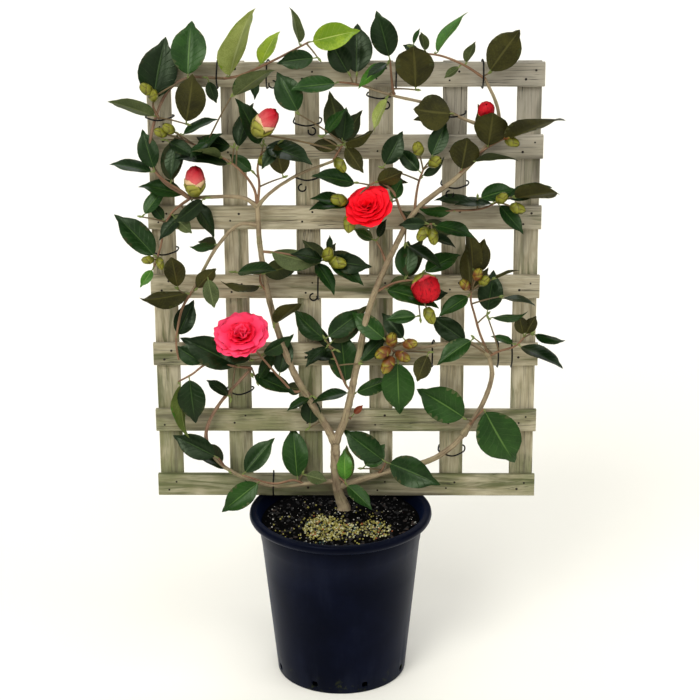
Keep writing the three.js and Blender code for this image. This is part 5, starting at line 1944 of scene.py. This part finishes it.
AREAS = {
    "leaves_upper_left": ["corner_left", "upper_left", "upper_inner", "left_edge", "left_fall", "leader_left",
                          "spur_inner"],
    "leaves_lower_left": ["left_mid", "left_low_leaves", "left_low_outer", "left_low_bottom", "bloom_coral",
                          "foot_leaves", "spur_leader", "spur_fallen"],
    "leaves_middle": ["upper_mid", "centre", "centre_low", "bud_cluster", "under_bloom", "right_mid",
                      "foot_right"],
    "leaves_right": ["right_out", "right_up", "right_low_leaves", "bloom_scarlet", "bud_pair", "right_inner",
                     "right_side", "right_tip"],
    "leaves_top": ["top_left", "top_mid", "top_centre", "top_right", "spur_long"],
}


@dataclass
class Crown:
    """All that grows on the limbs: stems, shoots, leaves, buds and blooms, by the source's rule."""

    stem_radius: float = 2.3
    shoot_radius: float = 1.5
    tip_radius: float = 1.1
    bare_length: float = 9.0
    shoot_tilt: float = 16.0
    bud_tilt: float = 30.0
    tilt: tuple[float, float] = (4.0, 34.0)
    rear_tilt: tuple[float, float] = (-58.0, -26.0)
    rear_share: float = 0.6
    rear_heading: float = 26.0
    rear_top: float = 1038.0
    rear_side: float = 300.0
    bend: tuple[float, float] = (0.03, 0.15)
    true_width: float = 0.5
    rising: float = 0.25
    rising_tilt: float = -0.8
    up_share: float = 0.82
    bud_length: float = 1.3
    bud_radius: float = 0.4
    bud_stalk: float = 1.3
    bloom_stalk: float = 1.7
    bloom_depth: tuple[float, float, float] = (1.5, 1.08, 0.4)
    bloom_rise: float = 0.2
    bloom_room: float = 0.46
    bloom_radius: float = 0.47

    BROWN, GREEN, STALK = range(3)
    MASS_SEED, BUD_SEED, BLOOM_SEED, SHOOT_SEED, REAR_SEED = 1000, 500, 700, 40, 20
    TILT_TURNS = (0, 9, -9, 18, -18, 27, 36)
    TILT_ENDS = (-28.0, 42.0)
    FARTHEST = 0.995
    HALF_OPEN = 0.3
    OPEN = 0.5

    def __post_init__(self) -> None:
        """Starts with nothing grown, and with the boards as what a leaf has to clear."""
        self.leaves: list[tuple[str, Leaf]] = []
        self.twigs = Tubes()
        self.petals = Gather()
        self.scales = Gather()
        self.solids = [self._block(name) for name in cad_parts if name.startswith(("rail", "lath"))]
        self.boards = list(self.solids)

    @staticmethod
    def _block(node: str) -> BVHTree:
        """A node's box, in millimetres."""
        low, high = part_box(node)
        xs, ys, zs = ((low[i] / MM, high[i] / MM) for i in range(3))
        corners = [(x, y, z) for x in xs for y in ys for z in zs]
        sides = [(0, 1, 3, 2), (4, 6, 7, 5), (0, 4, 5, 1), (2, 3, 7, 6), (0, 2, 6, 4), (1, 5, 7, 3)]
        return BVHTree.FromPolygons(corners, sides)

    def grow(self) -> None:
        """Grows every mass: its stem, buds and blooms first, and then its leaves in what room is left."""
        grown = [(mass, Way(mass.stem, mass.out)) for mass in (*MASSES, *SPURS)]
        for order, (mass, way) in enumerate(grown):
            self._stem(way)
            for number, bud in enumerate(mass.buds):
                self._bud(way, bud, self.MASS_SEED * order + self.BUD_SEED + number)
            for number, bloom in enumerate(mass.blooms):
                self._bloom(way, bloom, mass.name, self.MASS_SEED * order + self.BLOOM_SEED + number)
        for order, (mass, way) in enumerate(grown):
            for number, shoot in enumerate(mass.shoots):
                self._shoot(mass.name, way, shoot, self.MASS_SEED * order + self.SHOOT_SEED * number)

    def _stem(self, way: Way) -> None:
        """Gathers a mass's stem."""
        line = way.run(4.0)
        radii = np.linspace(self.stem_radius, self.shoot_radius, len(line))
        swell = 1 + 0.12 * np.maximum(0, np.sin(np.linspace(0, way.length / 24 * pi, len(line)))) ** 6
        self.twigs.add_tube(line, radii * swell, 8, self.BROWN)

    def _shoot(self, owner: str, way: Way, shoot: Shoot, seed: int) -> None:
        """Grows a shoot with its leaves and an end bud. A short one is a leaf's own stalk.

        Args:
            owner: Its mass.
            way: Its mass's stem.
            shoot: The shoot.
            seed: For its leaves' small differences.
        """
        root = way.at(min(shoot.along, self.FARTHEST))
        end = root
        if shoot.length > self.bare_length:
            end = root + seen(shoot.heading, self.shoot_tilt) * shoot.length
            self._twig(root, end)
            self._leaf_bud(end, unit(end - root))
        for number, look in enumerate(shoot.leaves):
            share = (number + 1) / (len(shoot.leaves) + 0.1) if len(shoot.leaves) > 1 else 1.0
            self._seat(owner, root + (end - root) * share, look, seed + number)
            self._rear_leaf(owner, root, look, seed + number + self.REAR_SEED)

    def _seat(self, owner: str, root: Array, look: LeafOn, seed: int) -> None:
        """Grows a leaf at the first tilt where it clears the rest, or at the one where it touches least.

        Args:
            owner: Its mass.
            root: Where its stalk springs from.
            look: How it looks from the front.
            seed: For its small differences.
        """
        draw = np.random.default_rng(seed).random(3)
        rising = cos(radians(look.heading)) > self.rising and not look.back
        usual = blend(*self.tilt, draw[0]) * (self.rising_tilt if rising else 1)
        best = None
        for turn in self.TILT_TURNS:
            tilt = max(self.TILT_ENDS[0], min(self.TILT_ENDS[1], usual + turn))
            leaf = self._leaf(root, look, tilt, blend(*self.bend, draw[1]), draw[2] < self.up_share, seed)
            solid = Blade().solid(leaf)
            hits = sum(len(solid.overlap(other)) for other in self.solids)
            if best is None or hits < best[0]:
                best = (hits, leaf, solid)
            if hits == 0:
                break
        self.leaves.append((owner, best[1]))
        self.solids.append(best[2])

    def _leaf(self, root: Array, look: LeafOn, tilt: float, bend: float, up: bool, seed: int) -> Leaf:
        """A leaf that looks as it should from the front, rolled so that its face turns up or down.

        Args:
            root: Where its stalk springs from.
            look: How it looks from the front.
            tilt: Degrees that it leans to the camera.
            bend: How far its tip droops, as a share of its length.
            up: Whether its face turns up.
            seed: For its small differences.

        Returns:
            The leaf.
        """
        step = seen(look.heading, tilt) * look.size
        length = float(np.linalg.norm(step))
        axis = step / length
        shown = look.width * look.size
        width = max(shown, self.true_width * length)
        roll = degrees(acos(shown / width))
        rolls = (roll + 180 * look.back, -roll + 180 * look.back)
        rolls = sorted(rolls, key=lambda turn: across_axis(axis, turn)[1][2])
        return Leaf(root, axis, rolls[int(up)], length, width, bend, look.tone, seed)

    def _rear_leaf(self, owner: str, root: Array, look: LeafOn, seed: int) -> None:
        """Grows, for a share of the leaves, one to the rear, between the boards and not clear of the rest.

        Args:
            owner: Its mass.
            root: Where its stalk springs from.
            look: How the leaf in front of it looks.
            seed: For its small differences.
        """
        share, turn, tilt, bend = np.random.default_rng(seed).random(4)
        if share > self.rear_share:
            return
        heading = look.heading + (turn * 2 - 1) * self.rear_heading
        axis = direction(heading, blend(*self.rear_tilt, tilt))
        length = look.size * 1.1
        leaf = Leaf(root, axis, 180 + (turn - 0.5) * 60, length, length * self.true_width,
                    blend(*self.bend, bend), look.tone, seed)
        tip = leaf.tip()
        solid = Blade().solid(leaf)
        inside = tip[2] < self.rear_top and abs(tip[0]) < self.rear_side
        if inside and not any(solid.overlap(board) for board in self.boards):
            self.leaves.append((owner, leaf))

    def _twig(self, root: Array, end: Array, tip: float | None = None) -> None:
        """Gathers a thin twig, a little bowed, from root to end.

        Args:
            root: Its first point.
            end: Its last.
            tip: Its radius there, if not the usual one.
        """
        share = np.linspace(0, 1, 7)[:, None]
        sag = np.sin(share * pi) * np.linalg.norm(end - root) * 0.035
        line = root + (end - root) * share + np.array([[0.0, -0.6, 0.8]]) * sag
        self.twigs.add_tube(line, np.linspace(self.shoot_radius, tip or self.tip_radius, 7), 7, self.GREEN)

    def _leaf_bud(self, end: Array, axis: Array) -> None:
        """Gathers the small pointed leaf bud at a shoot's end."""
        line = np.array([end + axis * reach for reach in (0.0, 2.0, 4.5, 7.0, 9.0)])
        self.twigs.add_tube(line, np.array([1.2, 1.9, 2.1, 1.3, 0.4]), 8, self.STALK)

    def _bud(self, way: Way, bud: BudOn, seed: int) -> None:
        """Grows a scaly bud on its stalk.

        Args:
            way: Its mass's stem.
            bud: The bud.
            seed: For its small differences.
        """
        root = way.at(min(bud.along, self.FARTHEST))
        axis = direction(bud.heading, self.bud_tilt)
        base = root + axis * bud.stalk
        self._twig(root, base, self.bud_stalk)
        rings = [replace(ring, slot=bud.scale) for ring in BUD_SCALES]
        length, radius = bud.size * self.bud_length, bud.size * self.bud_radius
        ShutBud().add(self.scales, base - axis, axis, length, radius, rings, 2.0, seed)
        self._keep_clear(base + axis * bud.size * 0.5, bud.size * 0.45)

    def _keep_clear(self, centre: Array, reach: float) -> None:
        """Adds a ball that leaves have to clear.

        Args:
            centre: Its middle.
            reach: Its radius.
        """
        points = [centre + reach * np.array(way) for way in (
            (1, 0, 0), (-1, 0, 0), (0, 1, 0), (0, -1, 0), (0, 0, 1), (0, 0, -1))]
        faces = [(a, b, c) for a in (0, 1) for b in (2, 3) for c in (4, 5)]
        self.solids.append(BVHTree.FromPolygons([tuple(point) for point in points], faces))

    def _bloom(self, way: Way, bloom: BloomOn, name: str, seed: int) -> None:
        """Grows a bloom on its stalk, shut, half open or open.

        Args:
            way: Its mass's stem.
            bloom: The bloom.
            name: Its mass's name.
            seed: For its small differences.
        """
        root = way.at(min(bloom.along, self.FARTHEST))
        end = root + direction(bloom.heading, self.shoot_tilt) * bloom.stalk
        axis = direction(*bloom.facing)
        centre = end + axis * bloom.size * self.bloom_rise
        is_open, is_half_open = bloom.open > self.OPEN, bloom.open > self.HALF_OPEN
        depth = bloom.size * self.bloom_depth[is_open + is_half_open]
        base = centre - axis * depth * 0.46
        self._twig(root, base, self.bloom_stalk)
        self._keep_clear(centre, bloom.size * self.bloom_room)
        if is_open:
            whorls = CORAL_BLOOM if name == "bloom_coral" else SCARLET_BLOOM
            Corolla().add(self.petals, base, axis, bloom.size / 2, whorls, seed)
        else:
            rings = HALF_OPEN_BLOOM if is_half_open else SHUT_BLOOM
            ShutBud(rows=10, columns=9, foot=0.42).add(
                self.petals, base, axis, depth, bloom.size * self.bloom_radius, rings, 2.6, seed)

    def build(self) -> list[Piece]:
        """The leaves in five pieces, the twigs, the buds and the blossom."""
        self.grow()
        tones = Tone.finishes()
        pieces = []
        for name, masses in AREAS.items():
            work = Gather()
            for owner, leaf in self.leaves:
                if owner in masses:
                    Blade().add(work, leaf)
                    self._stalk(leaf)
            nodes = [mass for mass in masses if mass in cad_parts]
            pieces.append(Bench.finish(work.build(name), "foliage", tones, *nodes))
        pieces.append(Bench.finish(self.twigs.build("twigs"), "bark", [
            Bark("twig_brown", "#8a6a4e", "#65452f", "#38241a"),
            Bark("twig_green", "#6c5a38", "#4e4028", "#302618", rough=0.6),
            Bark("leaf_stalk", "#74803c", "#5b682c", "#3e471c", rough=0.5)]))
        pieces.append(Bench.finish(self.scales.build("buds"), "foliage", [
            BudScale("scale_green", "#4a4d12", "#7f7f22", "#432c10"),
            BudScale("scale_brown", "#70401a", "#8f8a26", "#4a1a0c", (0.72, 1.2))]))
        pieces.append(Bench.finish(self.petals.build("blossom"), "foliage", BLOSSOM))
        log.info("leaves grown: %d", len(self.leaves))
        return pieces

    def _stalk(self, leaf: Leaf) -> None:
        """Gathers a leaf's stalk, from inside its twig to under its blade, with the small bud beside it."""
        _, face = across_axis(leaf.axis, leaf.roll)
        sunk = face * (-leaf.width / 2 * Blade.fold * 0.3)
        root, axis = leaf.root, leaf.axis
        points = [root - axis * 0.8, root + axis * 3 + sunk * 0.4, root + axis * 7 + sunk - face * 0.4,
                  root + axis * 10 + sunk - face * 0.5]
        self.twigs.add_tube(np.array(points), np.array([1.25, 1.05, 1.0, 0.5]), 6, self.STALK)
        bud = [root, root + (axis + face * 0.5) * 2.4, root + (axis + face * 0.35) * 5.2]
        self.twigs.add_tube(np.array(bud), np.array([1.3, 1.35, 0.4]), 6, self.STALK)


@dataclass(frozen=True)
class Tie:
    """A wire tie: where it is, whether it goes round a rail or a lath, and whether its end curls."""

    x: float
    z: float
    on_rail: bool
    curls: bool = False


@dataclass
class Ties:
    """Wire ties that hold the plant to the trellis."""

    wire_radius: float = 1.35
    trellis: Trellis = field(default_factory=Trellis)

    PLACES = [
        Tie(-191, 1019, True), Tie(-111, 1019, True, True), Tie(-286, 949, False, True),
        Tie(-286, 727, False), Tie(-50, 943, False, True), Tie(-50, 850, False, True),
        Tie(67, 985, False, True), Tie(92, 1019, True), Tie(180, 958, False), Tie(227, 1019, True),
        Tie(186, 839, False, True), Tie(-34, 665, True, True),
        Tie(-168, 482, False), Tie(-115, 311, True), Tie(186, 375, False), Tie(154, 547, True),
        Tie(259, 547, True), Tie(283, 547, True),
    ]

    def build(self) -> Piece:
        """All the ties, as one piece."""
        ties = Tubes()
        for order, tie in enumerate(self.PLACES):
            self._wind(ties, tie, chance(900 + order * 13))
        return Bench.finish(ties.build("wire_ties"), "bark", [TIE_WIRE])

    def _wind(self, ties: Tubes, tie: Tie, draw: Iterator[float]) -> None:
        """Winds one tie round its board and the limb in front of it, and twists its ends.

        Args:
            ties: The mesh that it goes into.
            tie: The tie.
            draw: For its small differences.
        """
        board = self.trellis
        half = board.width / 2 + 1.2
        out = 22 + next(draw) * 4
        back = -(2 * board.thickness + 1.4) if not tie.on_rail else -(board.thickness + 1.4)
        flat = [(-half, back), (-half - 0.6, 1.0), (-half * 0.5, out * 0.72), (-3.0, out), (4.0, out),
                (half * 0.6, out * 0.66), (half + 0.8, 0.6), (half, back), (0.0, back - 0.4)]
        slant = (next(draw) - 0.5) * 5
        loop = []
        for i, (along, forward) in enumerate([*flat, flat[0]]):
            lean = slant * (1 if forward > 0 else -0.4) + i * 0.12
            spot = (tie.x + lean, tie.z + along) if tie.on_rail else (tie.x + along, tie.z + lean)
            loop.append(place(spot, forward))
        self._draw(ties, np.array(loop))
        if tie.curls:
            side = copysign(1, next(draw) - 0.3)
            curl = [place((tie.x + side * (half * 0.4 + 6 * sin(t)), tie.z - 4 - 6 * (1 - cos(t))), out - 1)
                    for t in np.linspace(0, 1.6 * pi, 9)]
            self._draw(ties, np.array(curl))

    def _draw(self, ties: Tubes, points: Array) -> None:
        """Gathers a wire along a smooth line through points.

        Args:
            ties: The mesh that it goes into.
            points: The points.
        """
        line = []
        for i in range(len(points) - 1):
            before = points[max(i - 1, 0)]
            after = points[min(i + 2, len(points) - 1)]
            for share in (0.0, 0.25, 0.5, 0.75):
                line.append(self._between(before, points[i], points[i + 1], after, share))
        line.append(points[-1])
        ties.add_tube(np.array(line), np.full(len(line), self.wire_radius), 6)

    @staticmethod
    def _between(a: Array, b: Array, c: Array, d: Array, t: float) -> Array:
        """A point on the smooth curve from b to c."""
        square, cube = (2 * a - 5 * b + 4 * c - d) * t ** 2, (3 * b - a - 3 * c + d) * t ** 3
        return 0.5 * (2 * b + (c - a) * t + square + cube)


@dataclass
class Studio:
    """The floor, the lights and the camera, which stands where the photograph was taken from."""

    position: tuple[float, float, float] = (77.1, -3312.2, 1810.4)
    yaw: float = -1.034
    roll: float = -0.314
    lens: float = 111.65
    sensor: float = 36.0
    farthest: float = 100.0
    floor_size: float = 400.0
    sky_colour: str = "#fafbff"
    sky_edge: tuple[float, float] = (0.15, 0.8)
    sky_light: tuple[float, float] = (0.06, 0.69)
    cloud_scale: float = 2.2
    cloud_edge: tuple[float, float] = (0.44, 0.56)
    cloud_light: tuple[float, float] = (0.15, 2.0)

    AIM = (0.0, 0.0, 0.6)
    LAMPS = (
        ("key", (-1.5, -2.8, 3.2), 28.0, 1.35),
        ("fill", (2.6, -2.6, 1.9), 60.0, 0.5),
        ("back", (0.6, 2.8, 2.8), 60.0, 0.35),
        ("left_panel", (-3.2, -1.4, 2.0), 18.0, 0.26),
        ("right_panel", (3.2, -1.2, 2.6), 18.0, 0.24),
        ("top_panel", (0.3, -1.1, 4.2), 20.0, 0.26),
        ("front_panel", (0.5, -2.4, 4.0), 16.0, 0.22),
    )

    def camera(self) -> None:
        """Sets up the camera."""
        yaw, pitch, roll = map(radians, (self.yaw, VIEW_PITCH, self.roll))
        ahead = Vector((sin(yaw) * cos(pitch), cos(yaw) * cos(pitch), -sin(pitch)))
        level = Vector((cos(yaw), -sin(yaw), 0.0))
        above = level.cross(ahead)
        right = level * cos(roll) + above * sin(roll)
        up = above * cos(roll) - level * sin(roll)
        Bench.clear()
        bpy.ops.object.camera_add()
        camera = bpy.context.object
        turn = Matrix((right, up, -ahead)).transposed().to_4x4()
        camera.matrix_world = Matrix.Translation(Vector(self.position) * MM) @ turn
        camera.data.lens = self.lens
        camera.data.sensor_width = self.sensor
        camera.data.clip_end = self.farthest
        bpy.context.scene.camera = camera

    def floor(self) -> None:
        """Lays the floor."""
        Bench.clear()
        bpy.ops.mesh.primitive_plane_add(size=self.floor_size)
        floor = Bench.named("floor")
        floor.data.materials.append(material(FLOOR_PAINT))

    def sky(self) -> None:
        """Sets a clouded sky, brighter overhead, and a pale backdrop that only the camera sees."""
        world = bpy.data.worlds.new("studio_sky")
        nodes = Nodes(world)
        at = nodes.node("ShaderNodeTexCoord", output="Generated")
        rise = self._levels(nodes, nodes.axis(at, "Z"), self.sky_edge, self.sky_light, "SMOOTHSTEP")
        inputs = {"Vector": at, "Scale": self.cloud_scale, "Detail": 1.0}
        cloud = nodes.node("ShaderNodeTexNoise", None, inputs)
        patch = self._levels(nodes, cloud, self.cloud_edge, self.cloud_light, "LINEAR")
        inputs = {"Color": paint(self.sky_colour), "Strength": rise * patch}
        light = nodes.node("ShaderNodeBackground", None, inputs)
        backdrop = nodes.node("ShaderNodeBackground", None, {"Color": paint(FLOOR_PAINT.first)})
        seen_first = nodes.node("ShaderNodeLightPath", output="Is Camera Ray")
        either = nodes.node("ShaderNodeMixShader", None, {0: seen_first, 1: light, 2: backdrop})
        nodes.feed(world.node_tree.nodes["World Output"].inputs["Surface"], either)
        bpy.context.scene.world = world

    @staticmethod
    def _levels(nodes: Nodes, value: Wire, found: tuple[float, float], given: tuple[float, float],
                way: str) -> Wire:
        """A value carried over from the range that it is found in to the range that is given.

        Args:
            nodes: The nodes that it belongs to.
            value: The value.
            found: The least and the most that it is.
            given: What they become.
            way: How the node goes from one to the other.

        Returns:
            The Wire of the new value.
        """
        inputs = {"Value": value, "From Min": found[0], "From Max": found[1], "To Min": given[0],
                  "To Max": given[1]}
        return nodes.node("ShaderNodeMapRange", {"interpolation_type": way}, inputs)

    def lights(self) -> None:
        """Hangs the soft lights, each turned to the middle of the plant."""
        for name, spot, spread, strength in self.LAMPS:
            Bench.clear()
            bpy.ops.object.light_add(type="SUN", location=spot)
            lamp = bpy.context.object
            lamp.name = name
            lamp.data.angle = radians(spread)
            lamp.data.energy = strength
            aim = Vector(self.AIM) - Vector(spot)
            lamp.rotation_euler = aim.to_track_quat("-Z", "Y").to_euler()
        bpy.context.scene.view_settings.view_transform = "Standard"


def main() -> None:
    """Builds the camellia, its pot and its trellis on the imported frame."""
    logging.basicConfig(level=logging.INFO, format="%(message)s")
    studio = Studio()
    studio.camera()
    Pot().build()
    Mix().build()
    Trellis().build()
    Woodwork().build()
    Crown().build()
    Ties().build()
    studio.floor()
    studio.sky()
    studio.lights()


if __name__ == "__main__":
    main()
